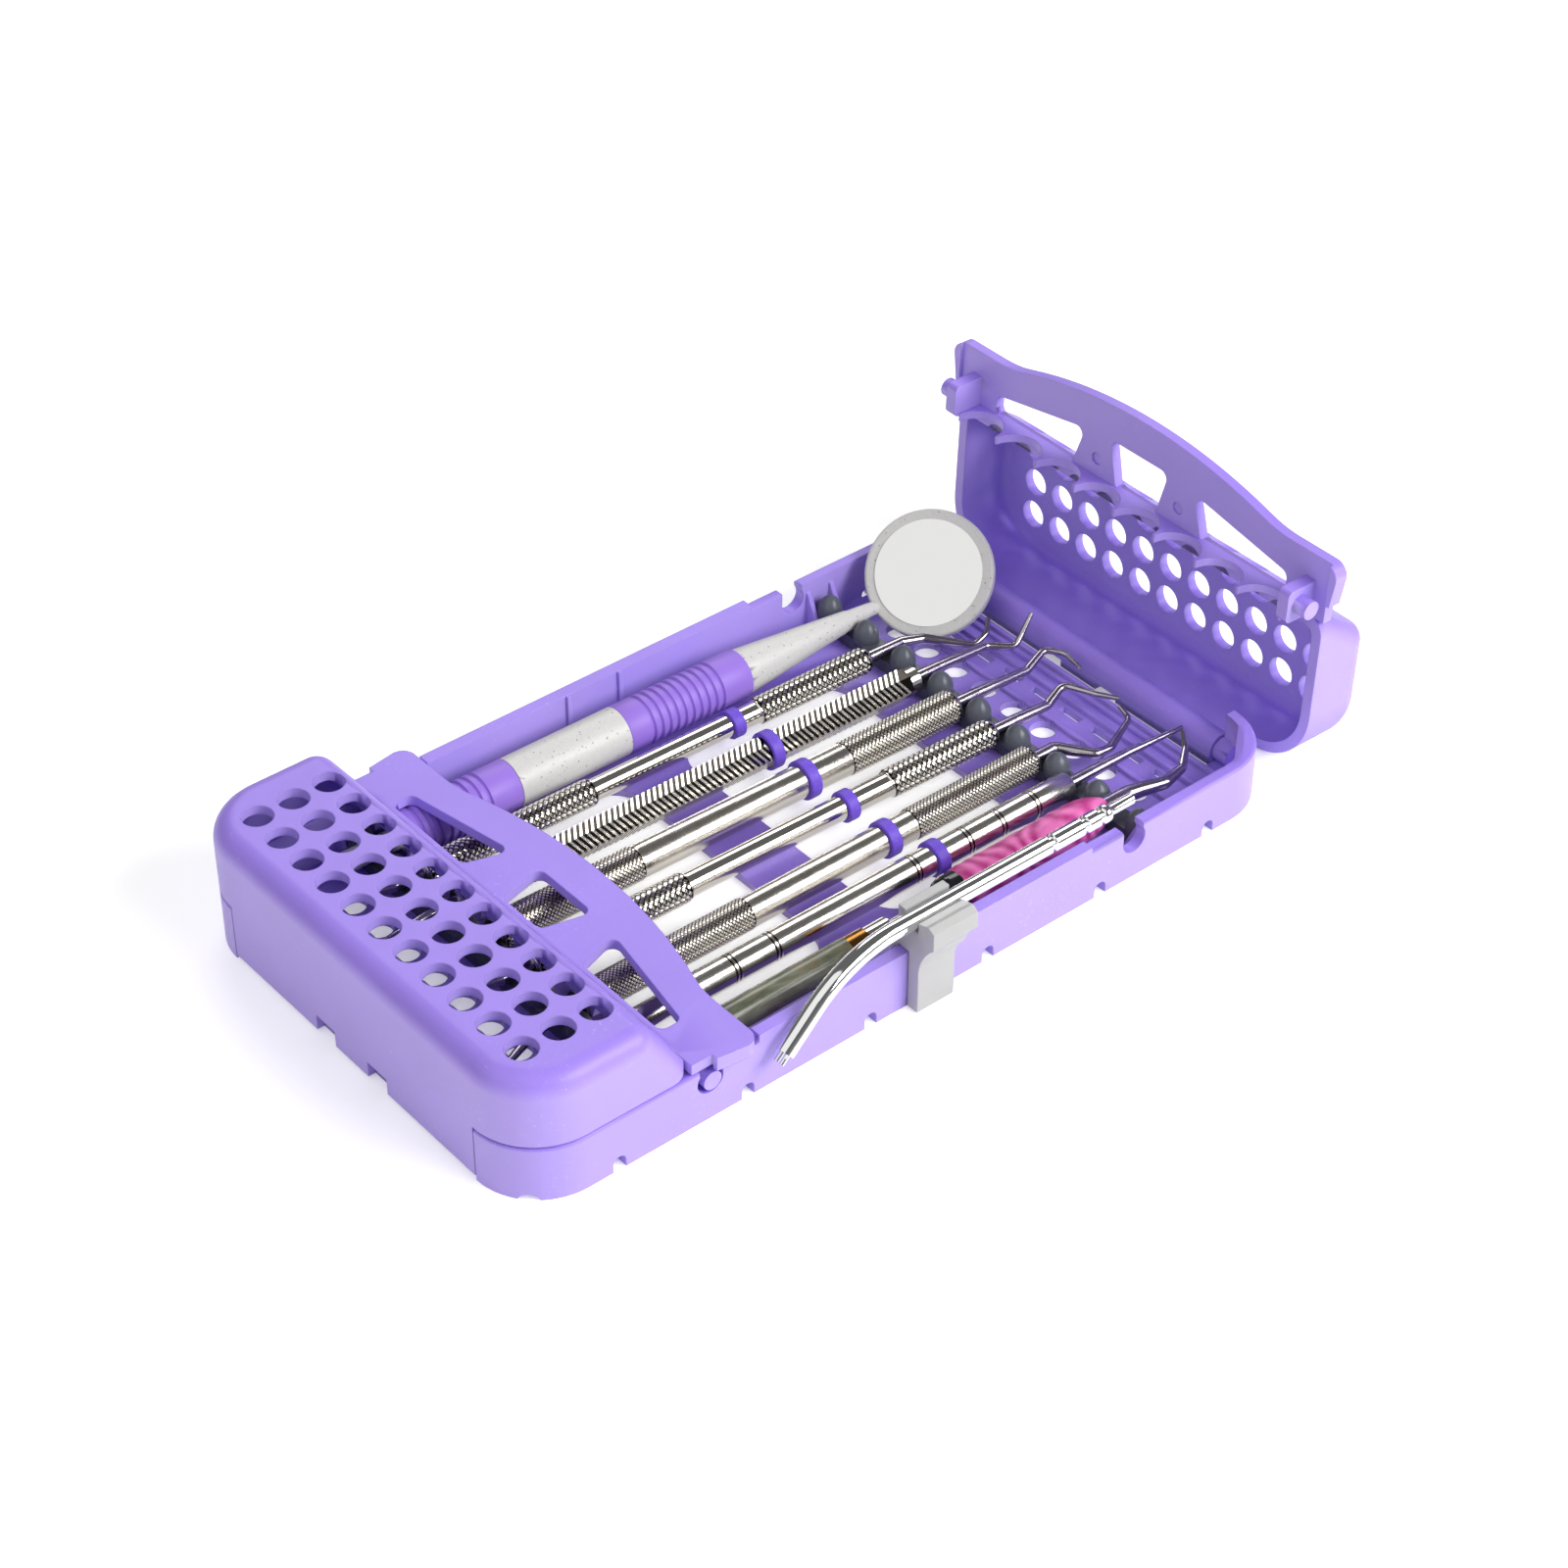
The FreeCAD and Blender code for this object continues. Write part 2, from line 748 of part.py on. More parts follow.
def bar_plate():
    """The flat handle bar with its ears, which hang a little lower outside the tray walls."""
    plate = bar_outline().extrude(Vector(0, 0, bar_thickness))
    ears = bar_outline().extrude(Vector(0, 0, ear_height))
    outside = box(
        0, end_x, wall_y + running_gap, wall_y + ear_overhang + margin, 0, ear_height
    )
    pieces = [ears.common(side) for side in both_sides(outside)]
    plate = plate.translated(Vector(0, 0, bar_underside))
    return joined(plate, [ear.translated(Vector(0, 0, bar_top_height - ear_height)) for ear in pieces])


def window_cutters():
    """The three windows between the bar and the foot of the slope."""
    foot = end_x - window_foot_from_end
    bar_x = end_x - middle_window_bar_from_end
    side_bar_x = end_x - side_window_bar_from_end
    tip_x = end_x - side_window_tip_from_end
    outer_y = wall_y - side_window_from_side
    middle = prism(
        [
            (bar_x, -middle_window_bar_width / 2),
            (bar_x, middle_window_bar_width / 2),
            (foot, middle_window_foot_width / 2),
            (foot, -middle_window_foot_width / 2),
        ],
        3 * bar_thickness,
        bar_underside - bar_thickness,
    )
    side = prism(
        [
            (side_bar_x, side_window_inner_at_bar),
            (tip_x, outer_y),
            (foot, outer_y),
            (foot, side_window_inner_at_foot),
        ],
        3 * bar_thickness,
        bar_underside - bar_thickness,
    )
    rounded = [w.makeFillet(window_radius, upright_edges(w)) for w in (middle, side)]
    return [rounded[0]] + both_sides(rounded[1])


def comb():
    """The scalloped wall that holds the instruments down."""
    x = rail_x - comb_from_rail - comb_thickness
    half = slot_pitch * slot_count / 2
    wall = box(x, x + comb_thickness, -half, half, comb_arc_height, bar_underside + margin)
    arcs = [
        rod(comb_arc_radius, (x - margin, slot_y(n), comb_arc_height),
            (x + comb_thickness + margin, slot_y(n), comb_arc_height))
        for n in range(slot_count)
    ]
    return wall.cut(arcs)


def snap_blocks():
    """The blocks under the bar with the pins that snap into the walls."""
    outer = inner_wall_y - snap_block_from_wall
    block = box(
        snap_x - snap_block_length / 2, snap_x + snap_block_length / 2,
        outer - snap_block_thickness, outer,
        bar_underside - snap_block_drop, bar_underside + margin
    )
    lower = [
        e for e in block.Edges
        if top_of(e) < bar_underside and abs(e.Vertexes[0].Y - e.Vertexes[-1].Y) > tiny
    ]
    block = block.makeFillet(snap_block_radius, lower)
    pin = rod(snap_pin_radius, (snap_x, outer - margin, snap_height), (snap_x, wall_y, snap_height))
    return both_sides(block) + both_sides(pin)


def cover_flap():
    """The end wall's lower part with the hinge barrel and its pins."""
    flap = box(
        end_x - cover_wall, end_x, -flap_half_width, flap_half_width,
        hinge_height - barrel_radius, parting_height + margin
    )
    barrel = rod(
        barrel_radius, (hinge_x, -flap_half_width, hinge_height),
        (hinge_x, flap_half_width, hinge_height)
    )
    reach = flap_half_width + hinge_pin_length
    pin = rod(hinge_pin_radius, (hinge_x, -reach, hinge_height), (hinge_x, reach, hinge_height))
    notch = box(
        end_x - flap_notch_depth, end_x + margin,
        (flap_notch_spacing - flap_notch_width) / 2, (flap_notch_spacing + flap_notch_width) / 2,
        -margin, flap_notch_height
    )
    return joined(flap, [barrel, pin]).cut(both_sides(notch))


def cover_holes():
    """The grid of round holes in the lid and its slope."""
    holes = []
    side = (cover_hole_columns - 1) / 2
    for row in range(cover_hole_rows):
        x = end_x - cover_hole_from_end - row * cover_hole_pitch_along
        for column in range(cover_hole_columns):
            y = cover_hole_pitch_across * (column - side)
            holes.append(rod(
                cover_hole_diameter / 2, (x, y, bar_underside + tiny), (x, y, cover_height + margin)
            ))
    return holes


def bar_dimples():
    """Two round recesses under the bar between its windows."""
    x = end_x - dimple_from_end
    y = dimple_spacing / 2
    dimple = rod(dimple_radius, (x, y, bar_underside - margin), (x, y, bar_underside + dimple_depth))
    return both_sides(dimple)


def make_cover():
    """A closed cover at the +X end, as one moulding."""
    outer = hood(0.0, 0.0, lid_edge_radius, parting_height)
    inner = hood(cover_wall, lid_thickness, lid_corner_inner_radius, parting_height - margin)
    shell = outer.cut(inner)
    plate = bar_plate().cut(window_cutters())
    added = [comb(), cover_flap()] + snap_blocks()
    cover = joined(shell, [plate] + added)
    return cover.cut(cover_holes() + bar_dimples())


def opened(cover):
    """The +X cover turned outwards on its hinge."""
    copy = cover.copy()
    copy.rotate(Vector(hinge_x, 0, hinge_height), Vector(0, 1, 0), open_angle)
    return copy


def make_rail():
    """A silicone rail at the +X end with its row of pegs."""
    rail = box(
        rail_inner_x, rail_outer_x,
        rail_end_gap - inner_wall_y, inner_wall_y - rail_end_gap, floor_thickness, saddle_height
    )
    tall = peg_height - saddle_height
    arc = Part.Arc(
        Vector(peg_radius, 0, 0),
        Vector(peg_radius * math.cos(math.pi / 4), 0, tall * math.sin(math.pi / 4)),
        Vector(0, 0, tall),
    ).toShape()
    sides = [
        Part.LineSegment(Vector(0, 0, tall), Vector(0, 0, -margin)).toShape(),
        Part.LineSegment(Vector(0, 0, -margin), Vector(peg_radius, 0, -margin)).toShape(),
        Part.LineSegment(Vector(peg_radius, 0, -margin), Vector(peg_radius, 0, 0)).toShape(),
    ]
    face = Part.Face(Part.Wire([arc] + sides))
    peg = face.revolve(Vector(0, 0, 0), Vector(0, 0, 1), 360)
    pegs = [
        peg.translated(Vector(rail_x, slot_pitch * (n - slot_count / 2), saddle_height))
        for n in range(slot_count + 1)
    ]
    return joined(rail, pegs)


def handle_ring(radius, x):
    """A soft marking ring round a handle."""
    z = instrument_axis_height
    outer = rod(radius + ring_thickness, (x - ring_width / 2, 0, z), (x + ring_width / 2, 0, z))
    bore = rod(radius, (x - ring_width, 0, z), (x + ring_width, 0, z))
    return outer.cut(bore)


def stepped_handle(sections):
    """A turned handle from sections of start, end and radius."""
    chamfer = handle_end_chamfer
    first, last = sections[0], sections[-1]
    profile = [(first[0], first[2] - chamfer), (first[0] + chamfer, first[2])]
    for before, after in zip(sections, sections[1:]):
        step = abs(before[2] - after[2])
        profile.append((before[1], before[2]))
        profile.append((after[0] + step, after[2]))
    profile += [(last[1] - chamfer, last[2]), (last[1], last[2] - chamfer)]
    return turned(profile, 0, instrument_axis_height)


def waisted_handle(right, waist, end_radius, waist_radius):
    """A turned handle with a thinner middle."""
    return stepped_handle([
        (-handle_end_x, waist[0], end_radius),
        (*waist, waist_radius),
        (waist[1], right, end_radius),
    ])


def hex_corner_radius():
    """Half the width of the faceted handle across its corners."""
    return hex_across_flats / 2 / math.cos(math.pi / hex_sides)


def faceted_handle():
    """A handle with flat sides and a short turned collar at each end."""
    corner = hex_corner_radius()
    z = instrument_axis_height
    start = hex_collar_length - handle_end_x
    corners = [
        Vector(
            start,
            corner * math.cos(2 * math.pi * n / hex_sides),
            z + corner * math.sin(2 * math.pi * n / hex_sides),
        )
        for n in range(hex_sides)
    ]
    body = Part.Face(Part.makePolygon(corners + corners[:1])).extrude(Vector(-2 * start, 0, 0))
    collar_radius = hex_across_flats / 2 - hex_collar_step
    ends = rod(collar_radius, (-handle_end_x, 0, z), (handle_end_x, 0, z))
    return joined(body, [ends])


def shank(start_x, bends, z=instrument_axis_height, root=shank_root_radius):
    """A working end: a straight root over the rail, then the bends to its tip."""
    direction = 1 if start_x > 0 else -1
    points = [(start_x, 0, z), (direction * shank_straight_end_x, 0, z)]
    points += [
        (direction * (shank_straight_end_x + past), shift, z + rise) for past, shift, rise in bends
    ]
    return tapered_rod(points, shank_bend_radius, root, shank_tip_radius)


def slot_line(number, shifts, x):
    """Where an instrument's axis crosses the tray at one place along it."""
    return slot_y(number) + sum(shifts) / 2 + (shifts[1] - shifts[0]) / yaw_span * x


def in_slot(shape, number, left_shift, right_shift):
    """A piece set in its slot, a little askew from one rail to the other."""
    yaw = math.degrees(math.atan2(right_shift - left_shift, yaw_span))
    placed = shape.copy()
    placed.rotate(Vector(0, 0, 0), Vector(0, 0, 1), yaw)
    return placed.translated(Vector(0, slot_y(number) + (left_shift + right_shift) / 2, 0))


def metal_handles():
    """The six metal handles, each with the radius under its ring."""
    slim_end = handle_end_x - slim_right_end_gap
    slim = waisted_handle(slim_end, slim_waist, slim_end_radius, slim_waist_radius)
    wide = waisted_handle(handle_end_x, wide_waist, wide_end_radius, wide_waist_radius)
    polished = waisted_handle(
        handle_end_x, polished_waist, polished_end_radius, polished_waist_radius
    )
    satin = waisted_handle(handle_end_x, satin_waist, satin_end_radius, satin_waist_radius)
    step_x = tube_handle_end_length - handle_end_x
    tube = stepped_handle([
        (-handle_end_x, step_x, tube_handle_end_radius),
        (step_x, handle_end_x, tube_handle_radius),
    ])
    return {
        "slim": (slim, slim_waist_radius),
        "hex": (faceted_handle(), hex_corner_radius()),
        "wide": (wide, wide_waist_radius),
        "polished": (polished, polished_waist_radius),
        "satin": (satin, satin_waist_radius),
        "tube": (tube, tube_handle_radius),
    }


def make_metal_instruments(parts):
    """Six metal instruments: handles, rings and the working ends at both sides."""
    for number, (name, (handle, ring_radius)) in enumerate(metal_handles().items(), start=1):
        ends = handle.BoundBox
        pieces = {
            "handle": handle,
            "ring": handle_ring(ring_radius, ring_places[name]),
            "right_tip": shank(ends.XMax, right_bends[name]),
            "left_tip": shank(ends.XMin, left_bends[name]),
        }
        for piece, shape in pieces.items():
            parts[f"{name}_{piece}"] = in_slot(shape, number, *slot_shifts[name])


def ribbed_grip(start, length, groove_from, z):
    """A soft sleeve with a smooth collar and a run of ring grooves."""
    sleeve = rod(mirror_body_radius, (start, 0, z), (start + length, 0, z))
    bore = rod(mirror_core_radius, (start - margin, 0, z), (start + length + margin, 0, z))
    sleeve = sleeve.cut(bore)
    low, high = groove_from
    count = int((high - low) // mirror_grip_rib_pitch)
    width = mirror_grip_rib_pitch / 2
    inner = mirror_body_radius - mirror_grip_groove_depth
    grooves = []
    for n in range(count):
        x = low + n * mirror_grip_rib_pitch
        outer = rod(mirror_body_radius + margin, (x, 0, z), (x + width, 0, z))
        core = rod(inner, (x - margin, 0, z), (x + width + margin, 0, z))
        grooves.append(outer.cut(core))
    return sleeve.cut(grooves)


def mirror_head_middle(lift):
    """A point on the axis of the mirror's head, raised from its face."""
    face = Vector(rail_x + mirror_head_past_rail, slot_y(0) - mirror_head_aside, mirror_head_height)
    return face + Vector(*mirror_head_normal).normalize() * lift


def mirror_disc(radius, thickness, lift):
    """A disc on the mirror head's face, raised along its normal."""
    return Part.makeCylinder(
        radius, thickness, mirror_head_middle(lift), Vector(*mirror_head_normal)
    )


def mirror_stem():
    """The mirror's handle, thinner where its two grips sit."""
    rear_end = mirror_rear_grip_x + mirror_rear_grip_length
    front_end = mirror_front_grip_x + mirror_front_grip_length
    stem = turned(
        [
            (mirror_tail_x, mirror_tail_radius - mirror_tail_taper / 2),
            (mirror_tail_x + mirror_tail_taper, mirror_tail_radius),
            (-rail_x + rail_width, mirror_tail_radius),
            (mirror_rear_grip_x, mirror_core_radius),
            (rear_end, mirror_core_radius),
            (rear_end, mirror_body_radius),
            (mirror_front_grip_x, mirror_body_radius),
            (mirror_front_grip_x, mirror_core_radius),
            (front_end, mirror_core_radius),
            (front_end, mirror_body_radius - mirror_shoulder_step),
            (mirror_cone_end_x, mirror_neck_radius + mirror_neck_shoulder),
        ],
        0, mirror_axis_height,
    )
    return in_slot(stem, 0, *mirror_shifts)


def mirror_neck():
    """The bent neck from the mirror's handle to the rim of its head."""
    normal = Vector(*mirror_head_normal).normalize()
    root_x = mirror_cone_end_x - margin
    root = Vector(root_x, slot_line(0, mirror_shifts, root_x), mirror_axis_height)
    bend_y = slot_line(0, mirror_shifts, mirror_neck_end_x)
    bend = Vector(mirror_neck_end_x, bend_y, mirror_axis_height)
    centre = mirror_head_middle(-mirror_head_thickness / 2)
    towards = bend - centre
    towards = (towards - normal * towards.dot(normal)).normalize()
    rim = centre + towards * (mirror_head_radius - mirror_neck_inset)
    points = [tuple(root), tuple(bend), tuple(rim)]
    return tapered_rod(
        points, mirror_neck_bend_radius, mirror_neck_radius, mirror_neck_tip_radius
    )


def make_mirror(parts):
    """The mouth mirror: a moulded handle with its head, two grips and the glass."""
    head = mirror_disc(mirror_head_radius, mirror_head_thickness, -mirror_head_thickness)
    head = head.makeFillet(mirror_rim_radius, round_rims(head))
    glass_base = mirror_glass_proud - mirror_glass_thickness
    pocket = mirror_disc(mirror_glass_radius, mirror_glass_thickness + margin, glass_base)
    parts["mirror_handle"] = joined(mirror_stem(), [mirror_neck(), head]).cut(pocket)
    parts["mirror_glass"] = mirror_disc(mirror_glass_radius, mirror_glass_thickness, glass_base)
    front_end = mirror_front_grip_x + mirror_front_grip_length
    rear_end = mirror_rear_grip_x + mirror_rear_grip_length
    front_grip = ribbed_grip(
        mirror_front_grip_x, mirror_front_grip_length,
        (mirror_front_grip_x + mirror_collar_length, front_end - mirror_collar_length),
        mirror_axis_height,
    )
    rear_grip = ribbed_grip(
        mirror_rear_grip_x, mirror_rear_grip_length,
        (mirror_rear_grip_x + mirror_short_collar_length, rear_end - mirror_collar_length),
        mirror_axis_height,
    )
    parts["mirror_front_grip"] = in_slot(front_grip, 0, *mirror_shifts)
    parts["mirror_rear_grip"] = in_slot(rear_grip, 0, *mirror_shifts)


def make_grip_instrument(parts):
    """The instrument with the silicone grip and the olive handle."""
    z = grip_axis_height
    bolster_x = grip_start_x - bolster_length
    link_x = bolster_x - ferrule_length
    ferrule_x = link_x - ferrule_length
    band_x = ferrule_x - gold_band_length
    neck_end = link_x - ferrule_neck_length + ferrule_neck_taper
    pieces = {
        "silicone_grip": turned(
            [
                (grip_start_x, grip_radius),
                (grip_end_x - grip_nose_length, grip_radius),
                (grip_end_x - grip_nose_length / 2, grip_radius - grip_nose_taper),
                (grip_end_x - grip_nose_collar_length, grip_nose_collar_radius),
                (grip_end_x, grip_nose_end_radius),
            ],
            0, z,
        ),
        "grip_bolster": turned(
            [
                (bolster_x, bolster_nose_radius),
                (bolster_x + 2 * bolster_round_step, bolster_radius - bolster_round_step),
                (bolster_x + bolster_round_length, bolster_radius),
                (grip_start_x, bolster_radius),
            ],
            0, z,
        ),
        "chrome_ferrule": turned(
            [
                (ferrule_x, ferrule_radius), (link_x - ferrule_neck_length, ferrule_radius),
                (neck_end, link_radius), (bolster_x, link_radius),
            ],
            0, z,
        ),
        "gold_band": turned(
            [(band_x, olive_radius - band_step), (ferrule_x, olive_radius - band_step)], 0, z
        ),
        "olive_handle": turned(
            [
                (olive_end_x, olive_radius - olive_taper_step),
                (olive_end_x + olive_taper_length, olive_radius),
                (band_x, olive_radius),
            ],
            0, z,
        ),
        "grip_right_tip": shank(grip_end_x, right_bends["grip"], z, grip_root_radius),
        "grip_left_tip": shank(olive_end_x, left_bends["grip"], z, olive_root_radius),
    }
    for name, shape in pieces.items():
        parts[name] = in_slot(shape, 7, *grip_shifts)


def tube_y():
    """The tube's axis, just inside the front wall's outer face."""
    return -(wall_y - tube_from_wall)


def make_tube():
    """The bent chrome tube with its grooved nose."""
    y, z = tube_y(), tube_axis_height
    end_y = -(wall_y + tube_end_from_wall)
    path = [(0.0, y, z), (tube_bend_x, y, z), (tube_end_x, end_y, tube_end_height)]
    wire = bent_path(path, tube_bend_radius)
    section = Part.Wire(Part.Circle(Vector(*path[0]), Vector(-1, 0, 0), tube_radius).toShape())
    bend = wire.makePipeShell([section], True, False)
    profile = [(0.0, tube_radius)]
    for x in tube_groove_positions:
        half = tube_groove_width / 2
        profile += [
            (x - half, tube_radius),
            (x - half / 2, tube_radius - tube_groove_depth),
            (x + half / 2, tube_radius - tube_groove_depth),
            (x + half, tube_radius),
        ]
    profile += [
        (tube_straight_end_x - tube_shoulder, tube_radius), (tube_straight_end_x, tube_nose_radius),
        (tube_nose_end_x, tube_nose_radius),
    ]
    straight = turned(profile, y, z)
    leaving = (Vector(*path[2]) - Vector(*path[1])).normalize()
    mouth = Vector(*path[2])
    stubs = [
        Part.makeCylinder(
            stub_radius, stub_length + margin, mouth + Vector(0, shift, 0) - leaving * margin, leaving
        )
        for shift in (-stub_spacing / 2, stub_spacing / 2)
    ]
    return joined(straight, [bend] + stubs)


def make_clip():
    """The clip: a hook over the front wall with a channel for the tube."""
    outer = wall_y + running_gap
    inner = inner_wall_y - running_gap
    leg = outer + clip_leg_thickness
    front = outer + clip_front_depth
    back = inner - clip_inner_thickness
    bridge = middle_wall_height + running_gap
    axis = wall_y - tube_from_wall
    jaw = tube_radius + channel_clearance
    channel = tube_axis_height - jaw
    back_jaw = axis - jaw - clip_jaw_thickness
    flare_middle = (clip_flare_height + clip_flare_top) / 2
    flare_y = leg + clip_flare_hollow * (front - leg)
    start = clip_x - clip_width / 2

    def at(y, z):
        return Vector(start, -y, z)

    flare = Part.Arc(
        at(leg, clip_flare_height), at(flare_y, flare_middle), at(front, clip_flare_top)
    ).toShape()
    points = [
        at(front, clip_flare_top),
        at(front, clip_front_height - clip_shoulder),
        at(front - clip_lip_width, clip_front_height),
        at(axis + jaw, clip_front_height - clip_lip_drop),
        at(axis + jaw, channel),
        at(axis - jaw, channel),
        at(axis - jaw, clip_back_jaw_height),
        at(back_jaw, clip_back_jaw_height),
        at(back_jaw, channel - clip_shoulder),
        at(back, bridge + clip_inner_thickness),
        at(back, bridge - clip_inner_leg_drop),
        at(inner, bridge - clip_inner_leg_drop),
        at(inner, bridge),
        at(outer, bridge),
        at(outer, clip_leg_bottom),
        at(leg, clip_leg_bottom),
        at(leg, clip_flare_height),
    ]
    outline = Part.Wire([flare] + Part.makePolygon(points).Edges)
    body = Part.Face(outline).extrude(Vector(clip_width, 0, 0))
    spare = clip_width - clip_leg_width
    end = start + clip_width
    round_top = clip_waist_height - spare
    trim_start, trim_end = -front - margin, clip_trim_gap - outer
    trim = box(start + clip_leg_width, end + margin, trim_start, trim_end, 0, round_top)
    corner = rod(spare, (end, trim_start, round_top), (end, trim_end, round_top))
    return body.cut([trim, corner])


def make_parts():
    """Every piece by its name."""
    parts = {"tray": make_tray()}
    cover = make_cover()
    parts["left_cover"] = mirrored(cover)
    parts["right_cover"] = opened(cover)
    rail = make_rail()
    parts["right_peg_rail"] = rail
    parts["left_peg_rail"] = mirrored(rail)
    make_mirror(parts)
    make_metal_instruments(parts)
    make_grip_instrument(parts)
    parts["wall_clip"] = make_clip()
    parts["syringe_tip"] = make_tube()
    return parts


os.makedirs("parts", exist_ok=True)
for part_name, part_shape in make_parts().items():
    if not part_shape.isValid() or len(part_shape.Solids) != 1:
        print("check", part_name, part_shape.isValid(), len(part_shape.Solids))
    part_shape.exportStep(f"parts/{part_name}.step")
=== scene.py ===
import json
import math

import bmesh
import bpy
import numpy as np
from mathutils import Matrix, Vector


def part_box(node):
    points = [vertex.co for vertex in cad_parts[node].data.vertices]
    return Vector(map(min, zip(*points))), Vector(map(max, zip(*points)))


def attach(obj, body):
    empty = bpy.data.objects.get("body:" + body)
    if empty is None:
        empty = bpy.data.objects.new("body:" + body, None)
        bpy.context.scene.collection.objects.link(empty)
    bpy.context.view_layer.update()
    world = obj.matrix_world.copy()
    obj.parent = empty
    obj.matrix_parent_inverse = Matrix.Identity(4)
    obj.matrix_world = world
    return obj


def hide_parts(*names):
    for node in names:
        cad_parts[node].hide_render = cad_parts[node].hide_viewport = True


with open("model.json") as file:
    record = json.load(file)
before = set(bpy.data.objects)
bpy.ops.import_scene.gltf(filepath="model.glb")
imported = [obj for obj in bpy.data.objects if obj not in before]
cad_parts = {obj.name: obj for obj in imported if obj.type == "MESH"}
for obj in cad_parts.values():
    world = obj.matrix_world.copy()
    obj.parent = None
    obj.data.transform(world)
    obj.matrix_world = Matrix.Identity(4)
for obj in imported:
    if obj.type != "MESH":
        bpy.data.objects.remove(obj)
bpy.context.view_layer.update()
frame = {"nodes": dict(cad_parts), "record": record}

bl_info = {
    "name": "Instrument cassette",
    "version": (1, 0, 0),
    "blender": (4, 5, 0),
    "location": "3D View > Sidebar > Cassette",
    "description": "Dresses a perforated cassette, its covers, rails, clip and hand instruments",
    "category": "Object",
}

MM = 0.001
STEEL_SETS = ("slim", "hex", "wide", "polished", "satin", "tube")
# Pale purple for the scuffs, and for the painted sheen that makes upright walls paler than tops.
SCUFF_AND_SHEEN_PURPLE = "#D9CBFA"
# Near-black brown laid into cuts in the steel: partly dirt, partly painted shade in the grooves.
GROOVE_DIRT_AND_SHADE = "#2B2622"
SHARP_EDGE_ANGLE = 35.0
BODY_OF = {
    node: body
    for body, nodes in frame["record"]["behaviour"]["bodies"].items()
    for node in nodes
}


def linear(code):
    """Turns an sRGB hex value into linear red, green, blue and alpha."""
    channels = [int(code[i:i + 2], 16) / 255 for i in (1, 3, 5)]
    return [c / 12.92 if c <= 0.04045 else ((c + 0.055) / 1.055) ** 2.4 for c in channels] + [1.0]


# Materials


def add(tree, kind, feeds=None, **settings):
    """Adds a node. feeds maps its inputs to values, or to the outputs that drive them."""
    new = tree.nodes.new(kind)
    for name, value in settings.items():
        setattr(new, name, value)
    for name, value in (feeds or {}).items():
        if isinstance(value, bpy.types.NodeSocket):
            tree.links.new(value, new.inputs[name])
        else:
            new.inputs[name].default_value = value
    return new


def empty_material(name):
    """A material with no nodes, and its coordinates in millimetres of the object's own frame."""
    material = bpy.data.materials.new(name)
    material.use_nodes = True
    tree = material.node_tree
    tree.nodes.clear()
    place = add(tree, "ShaderNodeTexCoord")
    millimetres = add(
        tree, "ShaderNodeMapping", {"Vector": place.outputs["Object"], "Scale": (1 / MM,) * 3}
    )
    return material, tree, millimetres.outputs["Vector"]


def finish_material(material, tree, surface):
    """Wires a shader to the material's output."""
    add(tree, "ShaderNodeOutputMaterial", {"Surface": surface})
    return material


